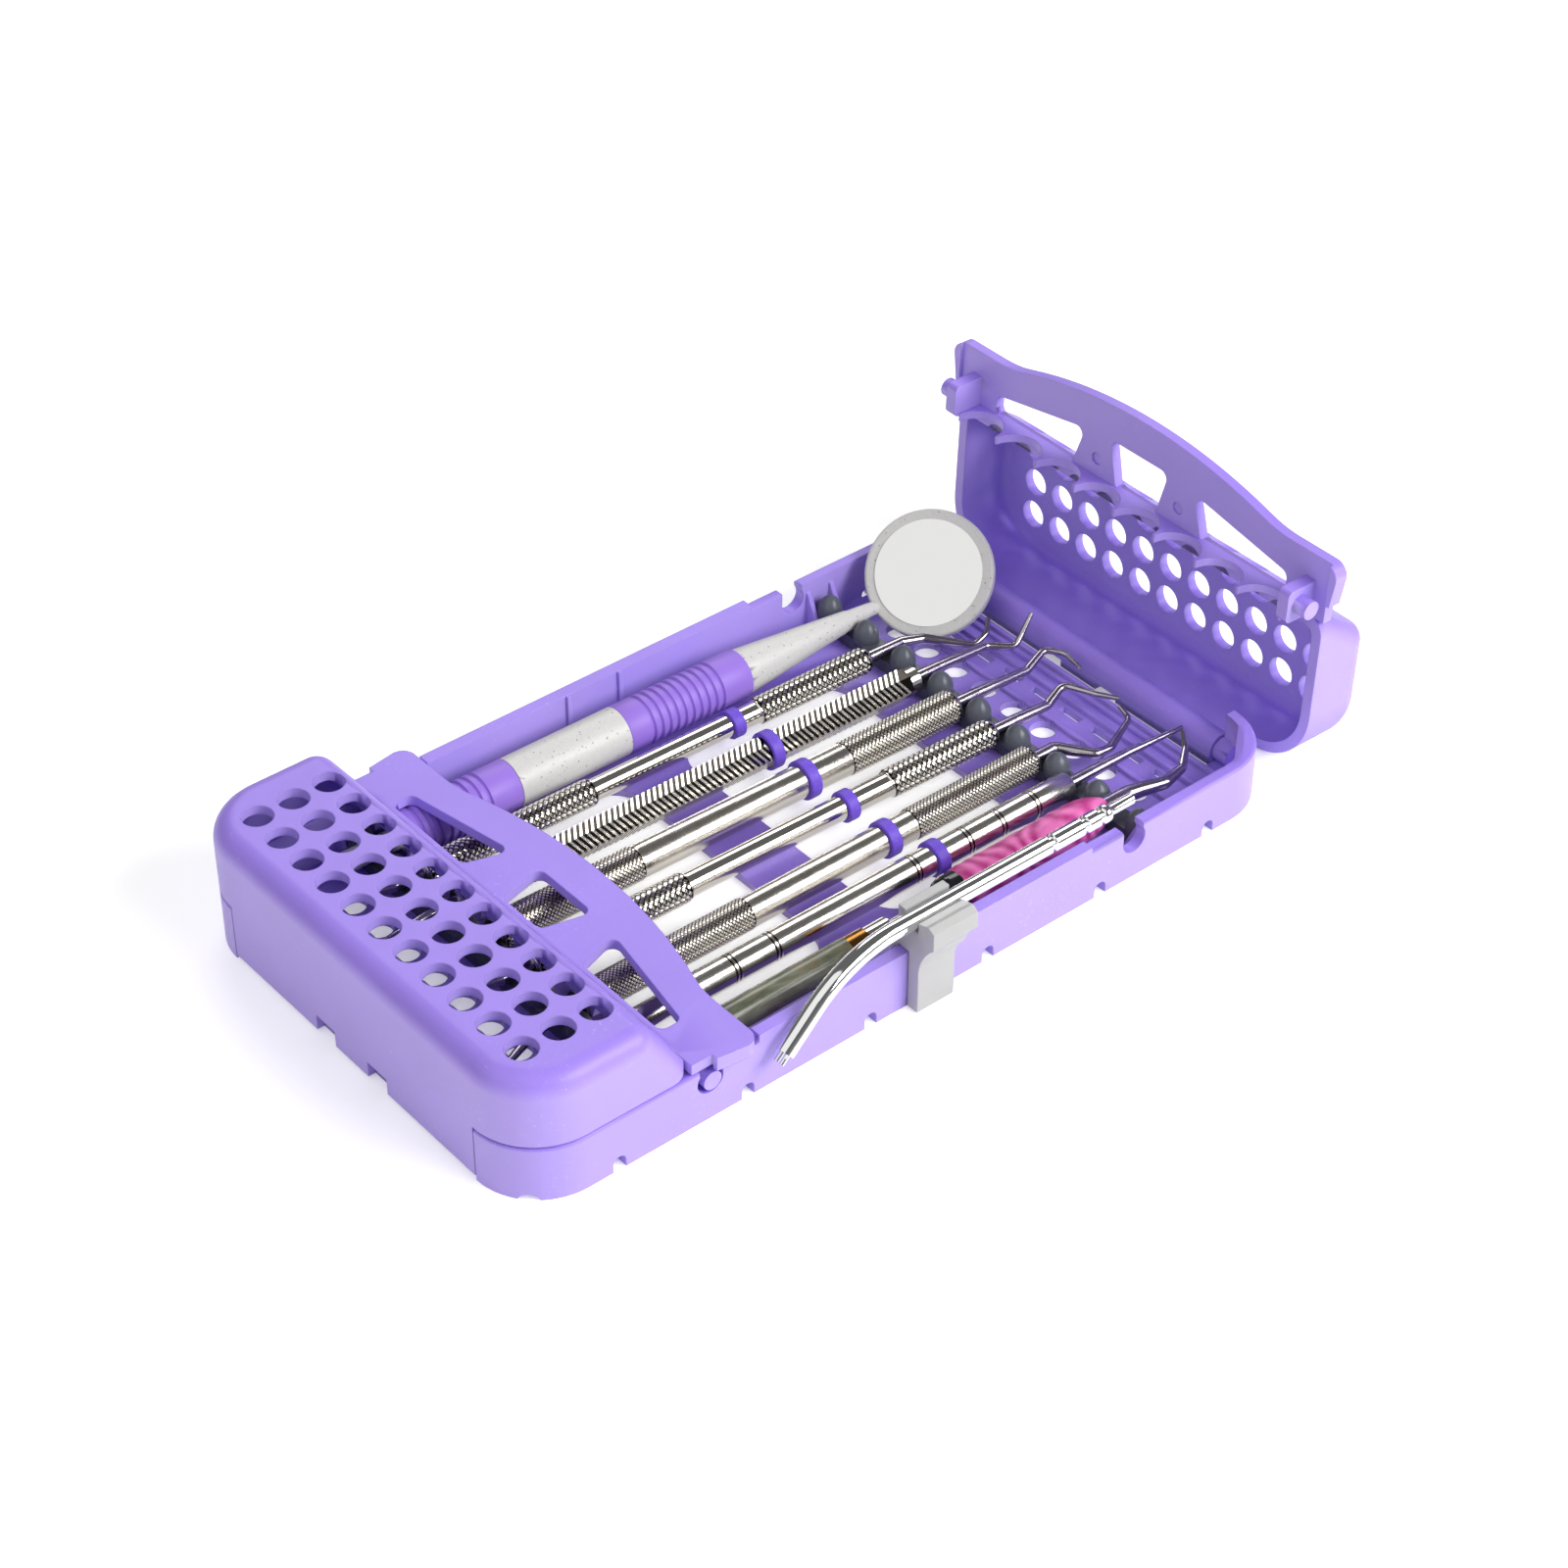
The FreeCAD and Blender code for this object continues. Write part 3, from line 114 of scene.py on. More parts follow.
def moulded_polypropylene(name, colour, roughness=0.42, scuffs_and_wall_sheen=True, translucency=0.05):
    """Injection-moulded polypropylene: satin, slightly cloudy, and lit from within at thin edges.
    Handling leaves pale scuffs on it, and its upright walls are painted paler than its tops, a painted
    sheen for the brighter light that falls on them."""
    material, tree, mm = empty_material(name)
    cloud = add(tree, "ShaderNodeTexNoise", {"Vector": mm, "Scale": 0.05, "Detail": 3.0})
    shade = add(
        tree, "ShaderNodeMapRange",
        {"Value": cloud.outputs["Fac"], "From Min": 0.3, "From Max": 0.7,
         "To Min": 0.95, "To Max": 1.04},
    )
    base = add(
        tree, "ShaderNodeVectorMath", {0: colour[:3], "Scale": shade.outputs["Result"]},
        operation="SCALE",
    )
    tone = base.outputs["Vector"]
    if scuffs_and_wall_sheen:
        # Painted sheen: upright faces are mixed up to 0.3 towards the pale purple, paler than the tops,
        # standing for the brighter light on them.
        facing = add(tree, "ShaderNodeSeparateXYZ",
                     {"Vector": add(tree, "ShaderNodeNewGeometry").outputs["Normal"]})
        upright = add(tree, "ShaderNodeMath", {0: facing.outputs["Z"]}, operation="ABSOLUTE")
        painted_wall_sheen = add(tree, "ShaderNodeMapRange",
                     {"Value": upright.outputs["Value"], "From Max": 0.6, "To Min": 0.3, "To Max": 0.0})
        sheened_walls = add(
            tree, "ShaderNodeMix", {0: painted_wall_sheen.outputs["Result"], 6: tone, 7: linear(SCUFF_AND_SHEEN_PURPLE)},
            data_type="RGBA",
        )
        tone = sheened_walls.outputs[2]
        patches = add(tree, "ShaderNodeTexNoise", {"Vector": mm, "Scale": 0.045, "Detail": 2.0})
        where = add(
            tree, "ShaderNodeMapRange",
            {"Value": patches.outputs["Fac"], "From Min": 0.46, "From Max": 0.62, "To Max": 0.55},
        )
        specks = add(
            tree, "ShaderNodeTexNoise", {"Vector": mm, "Scale": 1.3, "Detail": 4.0, "Roughness": 0.7}
        )
        spots = add(
            tree, "ShaderNodeMapRange",
            {"Value": specks.outputs["Fac"], "From Min": 0.6, "From Max": 0.72},
        )
        amount = add(
            tree, "ShaderNodeMath", {0: where.outputs["Result"], 1: spots.outputs["Result"]},
            operation="MULTIPLY",
        )
        pale = add(
            tree, "ShaderNodeMix", {0: amount.outputs["Value"], 6: tone, 7: linear(SCUFF_AND_SHEEN_PURPLE)},
            data_type="RGBA",
        )
        tone = pale.outputs[2]
    grain = add(tree, "ShaderNodeTexNoise", {"Vector": mm, "Scale": 2.2, "Detail": 3.0})
    dullness = add(
        tree, "ShaderNodeMapRange",
        {"Value": grain.outputs["Fac"], "To Min": roughness - 0.06, "To Max": roughness + 0.08},
    )
    edge = add(tree, "ShaderNodeBevel", {"Radius": 0.35 * MM}, samples=4)
    relief = add(
        tree, "ShaderNodeBump",
        {"Height": grain.outputs["Fac"], "Strength": 0.12, "Distance": 0.06 * MM,
         "Normal": edge.outputs["Normal"]},
    )
    shader = add(
        tree, "ShaderNodeBsdfPrincipled",
        {"Base Color": tone, "Roughness": dullness.outputs["Result"], "Normal": relief.outputs["Normal"],
         "IOR": 1.49, "Subsurface Weight": translucency, "Subsurface Radius": (1.0, 0.55, 1.6),
         "Subsurface Scale": 1.2 * MM},
    )
    return finish_material(material, tree, shader.outputs["BSDF"])


def moulded_silicone(name, colour, roughness=0.45, pits=0.25, speckle="#FFFFFF", speckled=0.0):
    """Moulded silicone rubber: soft sheen, fine pits, and dust that clings to it."""
    material, tree, mm = empty_material(name)
    grain = add(
        tree, "ShaderNodeTexNoise", {"Vector": mm, "Scale": 1.6, "Detail": 4.0, "Roughness": 0.6}
    )
    dust = add(tree, "ShaderNodeTexNoise", {"Vector": mm, "Scale": 2.4, "Detail": 2.0})
    amount = add(
        tree, "ShaderNodeMapRange",
        {"Value": dust.outputs["Fac"], "From Min": 0.66, "From Max": 0.74, "To Max": speckled},
    )
    tone = add(tree, "ShaderNodeMix", {0: amount.outputs["Result"], 6: colour, 7: linear(speckle)},
               data_type="RGBA")
    dullness = add(
        tree, "ShaderNodeMapRange",
        {"Value": grain.outputs["Fac"], "To Min": roughness - 0.08, "To Max": roughness + 0.1},
    )
    relief = add(
        tree, "ShaderNodeBump",
        {"Height": grain.outputs["Fac"], "Strength": pits, "Distance": 0.1 * MM},
    )
    shader = add(
        tree, "ShaderNodeBsdfPrincipled",
        {"Base Color": tone.outputs[2], "Roughness": dullness.outputs["Result"], "IOR": 1.41,
         "Normal": relief.outputs["Normal"], "Subsurface Weight": 0.06,
         "Subsurface Radius": (1.0, 0.8, 1.0), "Subsurface Scale": 0.8 * MM},
    )
    return finish_material(material, tree, shader.outputs["BSDF"])


def stainless_steel(name, roughness, lines=0.0, colour="#DAD6D0", line_spacing=0.25):
    """Stainless steel: turned on a lathe, so fine rings run round it, then polished or blasted.
    The spacing of the rings is drawn coarser than real so that it shows, and grooves are painted dark,
    partly as dirt and partly as painted shade."""
    material, tree, mm = empty_material(name)
    axis = add(tree, "ShaderNodeSeparateXYZ", {"Vector": mm})
    rings = add(
        tree, "ShaderNodeTexNoise",
        {"W": axis.outputs["X"], "Scale": 1 / line_spacing, "Detail": 5.0, "Roughness": 0.7},
        noise_dimensions="1D",
    )
    smear = add(tree, "ShaderNodeTexNoise", {"Vector": mm, "Scale": 0.35, "Detail": 4.0})
    mixed = add(
        tree, "ShaderNodeMath", {0: rings.outputs["Fac"], 1: smear.outputs["Fac"]}, operation="ADD"
    )
    dullness = add(
        tree, "ShaderNodeMapRange",
        {"Value": mixed.outputs["Value"], "From Min": 0.7, "From Max": 1.3,
         "To Min": roughness * 0.75, "To Max": roughness * 1.35},
    )
    relief = add(
        tree, "ShaderNodeBump",
        {"Height": rings.outputs["Fac"], "Strength": lines, "Distance": 0.03 * MM},
    )
    # Painted shade and dirt: points marked in the groove attribute are mixed towards the near-black
    # brown.
    groove = add(tree, "ShaderNodeAttribute", attribute_name="groove")
    deepest = add(tree, "ShaderNodeMapRange", {"Value": groove.outputs["Fac"], "From Min": 0.4})
    dirt_and_shade = add(
        tree, "ShaderNodeMix",
        {0: deepest.outputs["Result"], 6: linear(colour), 7: linear(GROOVE_DIRT_AND_SHADE)}, data_type="RGBA",
    )
    shader = add(
        tree, "ShaderNodeBsdfPrincipled",
        {"Base Color": dirt_and_shade.outputs[2], "Metallic": 1.0, "Roughness": dullness.outputs["Result"],
         "Normal": relief.outputs["Normal"]},
    )
    return finish_material(material, tree, shader.outputs["BSDF"])


def speckled_plastic(name):
    """Moulded plastic filled with dark flecks, like stone: pale grey, satin, with fine specks."""
    material, tree, mm = empty_material(name)
    flecks = add(tree, "ShaderNodeTexVoronoi", {"Vector": mm, "Scale": 0.75, "Randomness": 1.0})
    fleck = add(
        tree, "ShaderNodeMapRange",
        {"Value": flecks.outputs["Distance"], "From Min": 0.1, "From Max": 0.2,
         "To Min": 0.75, "To Max": 0.0},
    )
    pick = add(tree, "ShaderNodeTexNoise", {"Vector": mm, "Scale": 0.9, "Detail": 1.0})
    chosen = add(
        tree, "ShaderNodeMapRange", {"Value": pick.outputs["Fac"], "From Min": 0.42, "From Max": 0.5}
    )
    amount = add(
        tree, "ShaderNodeMath", {0: fleck.outputs["Result"], 1: chosen.outputs["Result"]},
        operation="MULTIPLY",
    )
    cloud = add(tree, "ShaderNodeTexNoise", {"Vector": mm, "Scale": 1.5, "Detail": 5.0})
    ground = add(
        tree, "ShaderNodeMix",
        {0: cloud.outputs["Fac"], 6: linear("#C2C1BE"), 7: linear("#D5D4D1")}, data_type="RGBA",
    )
    tone = add(
        tree, "ShaderNodeMix",
        {0: amount.outputs["Value"], 6: ground.outputs[2], 7: linear("#6E6C6A")}, data_type="RGBA",
    )
    relief = add(
        tree, "ShaderNodeBump",
        {"Height": cloud.outputs["Fac"], "Strength": 0.15, "Distance": 0.05 * MM},
    )
    shader = add(
        tree, "ShaderNodeBsdfPrincipled",
        {"Base Color": tone.outputs[2], "Roughness": 0.42, "Normal": relief.outputs["Normal"]},
    )
    return finish_material(material, tree, shader.outputs["BSDF"])


def front_silvered_glass(name):
    """Front-silvered mirror glass: clean and sharp, with a faint haze of handling."""
    material, tree, mm = empty_material(name)
    haze = add(tree, "ShaderNodeTexNoise", {"Vector": mm, "Scale": 0.12, "Detail": 3.0})
    dullness = add(
        tree, "ShaderNodeMapRange",
        {"Value": haze.outputs["Fac"], "From Min": 0.3, "From Max": 0.8, "To Min": 0.05, "To Max": 0.16},
    )
    shader = add(
        tree, "ShaderNodeBsdfPrincipled",
        {"Base Color": linear("#DFDFDE"), "Metallic": 1.0, "Roughness": dullness.outputs["Result"]},
    )
    return finish_material(material, tree, shader.outputs["BSDF"])


def glossy_plastic(name, colour, roughness=0.12):
    """Glossy moulded plastic: deep colour under a smooth skin with light handling marks."""
    material, tree, mm = empty_material(name)
    marks = add(tree, "ShaderNodeTexNoise", {"Vector": mm, "Scale": 0.8, "Detail": 5.0})
    dullness = add(
        tree, "ShaderNodeMapRange",
        {"Value": marks.outputs["Fac"], "From Min": 0.35, "From Max": 0.7,
         "To Min": roughness, "To Max": roughness + 0.14},
    )
    relief = add(
        tree, "ShaderNodeBump", {"Height": marks.outputs["Fac"], "Strength": 0.05, "Distance": 0.05 * MM}
    )
    shader = add(
        tree, "ShaderNodeBsdfPrincipled",
        {"Base Color": linear(colour), "Roughness": dullness.outputs["Result"],
         "Normal": relief.outputs["Normal"]},
    )
    return finish_material(material, tree, shader.outputs["BSDF"])


def olive_resin(name):
    """Cast resin in olive and brown: cloudy streaks run along it, polished on top."""
    material, tree, mm = empty_material(name)
    stretched = add(tree, "ShaderNodeMapping", {"Vector": mm, "Scale": (0.25, 1.0, 1.0)})
    streaks = add(
        tree, "ShaderNodeTexNoise",
        {"Vector": stretched.outputs["Vector"], "Scale": 0.6, "Detail": 5.0, "Distortion": 0.6},
    )
    spread = add(
        tree, "ShaderNodeMapRange", {"Value": streaks.outputs["Fac"], "From Min": 0.35, "From Max": 0.65}
    )
    tone = add(
        tree, "ShaderNodeMix",
        {0: spread.outputs["Result"], 6: linear("#565A48"), 7: linear("#7E806A")}, data_type="RGBA",
    )
    warm = add(tree, "ShaderNodeTexNoise", {"Vector": mm, "Scale": 0.22, "Detail": 3.0})
    patch = add(
        tree, "ShaderNodeMapRange",
        {"Value": warm.outputs["Fac"], "From Min": 0.5, "From Max": 0.7, "To Max": 0.5},
    )
    browned = add(
        tree, "ShaderNodeMix",
        {0: patch.outputs["Result"], 6: tone.outputs[2], 7: linear("#8A7754")}, data_type="RGBA",
    )
    shader = add(
        tree, "ShaderNodeBsdfPrincipled",
        {"Base Color": browned.outputs[2], "Roughness": 0.25, "IOR": 1.5},
    )
    return finish_material(material, tree, shader.outputs["BSDF"])


def marbled_silicone(name):
    """Pink silicone with a raised swirl: the ridges are pale and the hollows deep pink."""
    material, tree, mm = empty_material(name)
    swirl = add(tree, "ShaderNodeAttribute", attribute_name="swirl")
    cloud = add(tree, "ShaderNodeTexNoise", {"Vector": mm, "Scale": 0.5, "Detail": 4.0})
    mixed = add(
        tree, "ShaderNodeMath", {0: swirl.outputs["Fac"], 1: cloud.outputs["Fac"]}, operation="ADD"
    )
    level = add(
        tree, "ShaderNodeMapRange", {"Value": mixed.outputs["Value"], "From Min": 0.4, "From Max": 1.5}
    )
    tone = add(
        tree, "ShaderNodeMix",
        {0: level.outputs["Result"], 6: linear("#AE2A78"), 7: linear("#E274B6")}, data_type="RGBA",
    )
    shader = add(
        tree, "ShaderNodeBsdfPrincipled",
        {"Base Color": tone.outputs[2], "Roughness": 0.42, "IOR": 1.41, "Subsurface Weight": 0.15,
         "Subsurface Radius": (1.0, 0.4, 0.7), "Subsurface Scale": 1.0 * MM},
    )
    return finish_material(material, tree, shader.outputs["BSDF"])


# Mesh tools


def axis_of(node):
    """The two ends of a turned piece's axis, from the CAD solid's end faces."""
    points = np.array([v.co for v in frame["nodes"][node].data.vertices])
    low, high = points[:, 0].min(), points[:, 0].max()
    reach = 0.3 * MM
    start = points[points[:, 0] < low + reach].mean(axis=0)
    end = points[points[:, 0] > high - reach].mean(axis=0)
    return Vector(start), Vector(end)


def along(start, end):
    """A matrix that takes X from zero to the line from start to end."""
    direction = (end - start).normalized()
    side = Vector((0, 0, 1)).cross(direction).normalized()
    up = direction.cross(side)
    turn = Matrix((direction, side, up)).transposed().to_4x4()
    return Matrix.Translation(start) @ turn


def lathe(profile, count=64, closed=False):
    """Points and faces of a body turned about X, from pairs of position and radius in millimetres."""
    points, faces = [], []
    for x, radius in profile:
        for step in range(count):
            angle = 2 * math.pi * step / count
            points.append((x * MM, radius * MM * math.cos(angle), radius * MM * math.sin(angle)))
    rows = len(profile)
    for row in range(rows if closed else rows - 1):
        after = (row + 1) % rows
        for step in range(count):
            turn = (step + 1) % count
            faces.append((
                row * count + step, row * count + turn, after * count + turn, after * count + step
            ))
    if not closed:
        faces.append(tuple(reversed(range(count))))
        faces.append(tuple(range((rows - 1) * count, rows * count)))
    return points, faces


def rounded_profile(x0, x1, inner, outer, corner, steps=5):
    """The closed outline of a sleeve with round outer corners."""
    outline = [(x0, inner)]
    for step in range(steps + 1):
        angle = math.pi / 2 * step / steps
        outline.append((
            x0 + corner * (1 - math.cos(angle)),
            outer - corner * (1 - math.sin(angle)),
        ))
    for step in range(steps + 1):
        angle = math.pi / 2 * step / steps
        outline.append((
            x1 - corner * (1 - math.sin(angle)),
            outer - corner * (1 - math.cos(angle)),
        ))
    outline.append((x1, inner))
    return outline


def new_piece(name, points, faces, node, material, place,
              flat_faces=(), angle=SHARP_EDGE_ANGLE, groove=None):
    """Makes a piece in a CAD node's place, riding on its body. groove says how deep in a cut each
    point lies, from 0 to 1."""
    mesh = bpy.data.meshes.new(name)
    mesh.from_pydata(points, [], faces)
    mesh.transform(place)
    mesh.materials.append(material)
    if groove is not None:
        layer = mesh.attributes.new("groove", "FLOAT", "POINT")
        layer.data.foreach_set("value", np.array(groove, dtype=np.float32))
    flags = np.ones(len(mesh.polygons), dtype=bool)
    flags[list(flat_faces)] = False
    mesh.polygons.foreach_set("use_smooth", flags)
    mesh.set_sharp_from_angle(angle=math.radians(angle))
    mesh.update()
    piece = bpy.data.objects.new(name, mesh)
    bpy.context.scene.collection.objects.link(piece)
    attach(piece, BODY_OF[node])
    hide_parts(node)
    return piece


def dressed_moulding(name, node, material):
    """A copy of a CAD solid in its real finish, with round faces smooth and flat faces flat."""
    weld_distance, flat_angle = 0.001 * MM, math.radians(1.0)
    mesh = frame["nodes"][node].data.copy()
    mesh.name = name
    work = bmesh.new()
    work.from_mesh(mesh)
    bmesh.ops.remove_doubles(work, verts=work.verts, dist=weld_distance)
    bmesh.ops.dissolve_limit(
        work, angle_limit=flat_angle, verts=work.verts, edges=work.edges, delimit={"NORMAL"}
    )
    work.to_mesh(mesh)
    work.free()
    mesh.materials.clear()
    mesh.materials.append(material)
    mesh.polygons.foreach_set("use_smooth", np.ones(len(mesh.polygons), dtype=bool))
    mesh.set_sharp_from_angle(angle=math.radians(SHARP_EDGE_ANGLE))
    piece = bpy.data.objects.new(name, mesh)
    bpy.context.scene.collection.objects.link(piece)
    shading = piece.modifiers.new("flat_faces_stay_flat", "WEIGHTED_NORMAL")
    shading.keep_sharp = True
    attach(piece, BODY_OF[node])
    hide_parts(node)
    return piece


def knurl(count, start, end, radius, pitch, depth, flat):
    """Rows of cut diamonds between two rings, as two crossed sets of grooves leave them.
    Returns points and faces, the first and last rows of count points each, and the low points."""
    rows = max(2, 2 * round((end - start) / pitch))
    step = (end - start) / rows
    angle = 2 * math.pi / count
    points, faces, valley = [], [], {}

    def at(a, b, r):
        points.append((
            (start + b * step) * MM, r * MM * math.cos(a * angle), r * MM * math.sin(a * angle)
        ))
        return len(points) - 1

    for b in (0, rows):
        for a in range(count):
            valley[a, b] = at(a, b, radius - depth)
    for b in range(1, rows):
        for a in range(count):
            if (a + b) % 2:
                valley[a, b] = at(a, b, radius - depth)
    for b in range(rows + 1):
        for a in range(b % 2, count, 2):
            east, west = valley.get(((a + 1) % count, b)), valley.get(((a - 1) % count, b))
            north, south = valley.get((a, b + 1)), valley.get((a, b - 1))
            if b == 0:
                faces += [(valley[a, b], east, north), (valley[a, b], north, west)]
            elif b == rows:
                faces += [(valley[a, b], west, south), (valley[a, b], south, east)]
            else:
                tops = [at(a + flat, b, radius), at(a, b + flat, radius),
                        at(a - flat, b, radius), at(a, b - flat, radius)]
                faces.append(tuple(tops))
                feet = [east, north, west, south]
                for side in range(4):
                    after = (side + 1) % 4
                    faces.append((feet[side], feet[after], tops[after], tops[side]))
    first = [valley[a, 0] for a in range(count)]
    last = [valley[a, rows] for a in range(count)]
    return points, faces, first, last, set(valley.values())


def turned_handle(count, sections):
    """One closed mesh from plain profiles and knurled bands, in order along X.
    Returns points, faces, the numbers of the knurled faces and each point's groove value."""
    points, faces, cut, groove = [], [], [], []
    previous = None
    for section in sections:
        base = len(points)
        if section[0] == "plain":
            rows = []
            for x, radius in section[1]:
                rows.append(list(range(len(points), len(points) + count)))
                points += [
                    (x * MM, radius * MM * math.cos(2 * math.pi * a / count),
                     radius * MM * math.sin(2 * math.pi * a / count))
                    for a in range(count)
                ]
        else:
            more, cuts, first, last, low = knurl(count, *section[1])
            points += more
            groove += [0.0] * (base - len(groove))
            # Knurl valleys are marked as groove, so the steel is painted dark there: dirt and painted
            # shade.
            groove += [float(n in low) for n in range(len(more))]
            cut += range(len(faces), len(faces) + len(cuts))
            faces += [tuple(v + base for v in f) for f in cuts]
            rows = [[v + base for v in first], [v + base for v in last]]
        joins = list(zip(rows, rows[1:])) if section[0] == "plain" else []
        if previous is not None:
            joins.append((previous, rows[0]))
        else:
            faces.append(tuple(reversed(rows[0])))
        for before, after in joins:
            for a in range(count):
                b = (a + 1) % count
                faces.append((before[a], before[b], after[b], after[a]))
        previous = rows[-1]
    faces.append(tuple(previous))
    groove += [0.0] * (len(points) - len(groove))
    return points, faces, cut, groove


# Sizes and colours that a user would change


class CassetteSizes(bpy.types.PropertyGroup):
    """Sizes of what the looks add to the solids."""
    coarse_pitch: bpy.props.FloatProperty(
        name="Coarse knurl", description="Length of one diamond on the coarse knurls",
        default=1.45 * MM, min=0.5 * MM, max=4.0 * MM, unit="LENGTH")
    fine_pitch: bpy.props.FloatProperty(
        name="Fine knurl", description="Length of one diamond on the fine knurls",
        default=1.05 * MM, min=0.5 * MM, max=4.0 * MM, unit="LENGTH")
    knurl_depth: bpy.props.FloatProperty(
        name="Knurl depth", description="Depth of the knurl's grooves",
        default=0.32 * MM, min=0.05 * MM, max=1.0 * MM, unit="LENGTH")


class CassetteColours(bpy.types.PropertyGroup):
    """Colours of the plastics and rubbers."""
    moulding: bpy.props.FloatVectorProperty(
        name="Mouldings", description="Tray and covers", subtype="COLOR", size=4,
        default=linear("#9B80E4"), min=0.0, max=1.0)
    rings: bpy.props.FloatVectorProperty(
        name="Marking rings", description="Soft rings on the handles", subtype="COLOR", size=4,
        default=linear("#6B4BC8"), min=0.0, max=1.0)
    sleeves: bpy.props.FloatVectorProperty(
        name="Mirror grips", description="Soft sleeves on the mirror's handle", subtype="COLOR",
        size=4, default=linear("#9674D6"), min=0.0, max=1.0)
    pegs: bpy.props.FloatVectorProperty(
        name="Rails", description="Silicone rails with pegs", subtype="COLOR", size=4,
        default=linear("#565A64"), min=0.0, max=1.0)


# Operators


class CASSETTE_OT_mouldings(bpy.types.Operator):
    """Dresses the tray and the two covers as soft-edged mouldings"""
    bl_idname = "cassette.mouldings"
    bl_label = "Tray and covers"

    def execute(self, context):
        scene = context.scene
        purple = moulded_polypropylene("moulded_polypropylene", scene.cassette_colours.moulding)
        for node in ("tray", "left_cover", "right_cover"):
            dressed_moulding(f"{node}_moulding", node, purple)
        return {"FINISHED"}


class CASSETTE_OT_rails(bpy.types.Operator):
    """Finishes the silicone rails with their pegs"""
    bl_idname = "cassette.rails"
    bl_label = "Peg rails"

    def execute(self, context):
        rubber = moulded_silicone(
            "grey_silicone", context.scene.cassette_colours.pegs, roughness=0.3, pits=0.12
        )
        for node in ("left_peg_rail", "right_peg_rail"):
            dressed_moulding(f"{node}_rubber", node, rubber)
        return {"FINISHED"}


class CASSETTE_OT_mirror(bpy.types.Operator):
    """Finishes the mouth mirror and makes its ribbed sleeves"""
    bl_idname = "cassette.mirror"
    bl_label = "Mouth mirror"

    def execute(self, context):
        stone = speckled_plastic("speckled_plastic")
        dressed_moulding("mirror_stem", "mirror_handle", stone)
        glass = front_silvered_glass("front_silvered_glass")
        dressed_moulding("mirror_plate", "mirror_glass", glass)
        rubber = moulded_silicone(
            "sleeve_silicone", context.scene.cassette_colours.sleeves, roughness=0.45, pits=0.08
        )
        self.sleeve(
            "mirror_front_sleeve", "mirror_front_grip", rubber, collar_start=5.6, collar_end=5.6
        )
        self.sleeve(
            "mirror_rear_sleeve", "mirror_rear_grip", rubber, collar_start=2.0, collar_end=5.6
        )
        return {"FINISHED"}

    def sleeve(self, name, node, rubber, collar_start, collar_end):
        """A sleeve with smooth collars and a run of round ribs between them."""
        start, end = axis_of(node)
        length = (end - start).length / MM
        outer, inner, depth, pitch, soft = 5.8, 4.2, 0.55, 2.15, 0.3
        steps, around, hollow_shape = 10, 72, 0.7
        profile = [(0.0, inner), (0.0, outer - soft), (soft / 3, outer - soft / 3), (soft, outer)]
        ribs_end = length - collar_end
        count = int((ribs_end - collar_start) // pitch)
        for rib in range(count):
            for step in range(steps):
                share = step / steps
                hollow = max(0.0, math.sin(2 * math.pi * share)) ** hollow_shape
                profile.append((collar_start + (rib + share) * pitch, outer - depth * hollow))
        profile.append((collar_start + count * pitch, outer))
        profile += [(length - soft, outer), (length - soft / 3, outer - soft / 3),
                    (length, outer - soft), (length, inner)]
        points, faces = lathe(profile, around, closed=True)
        new_piece(name, points, faces, node, rubber, along(start, end), angle=50.0)


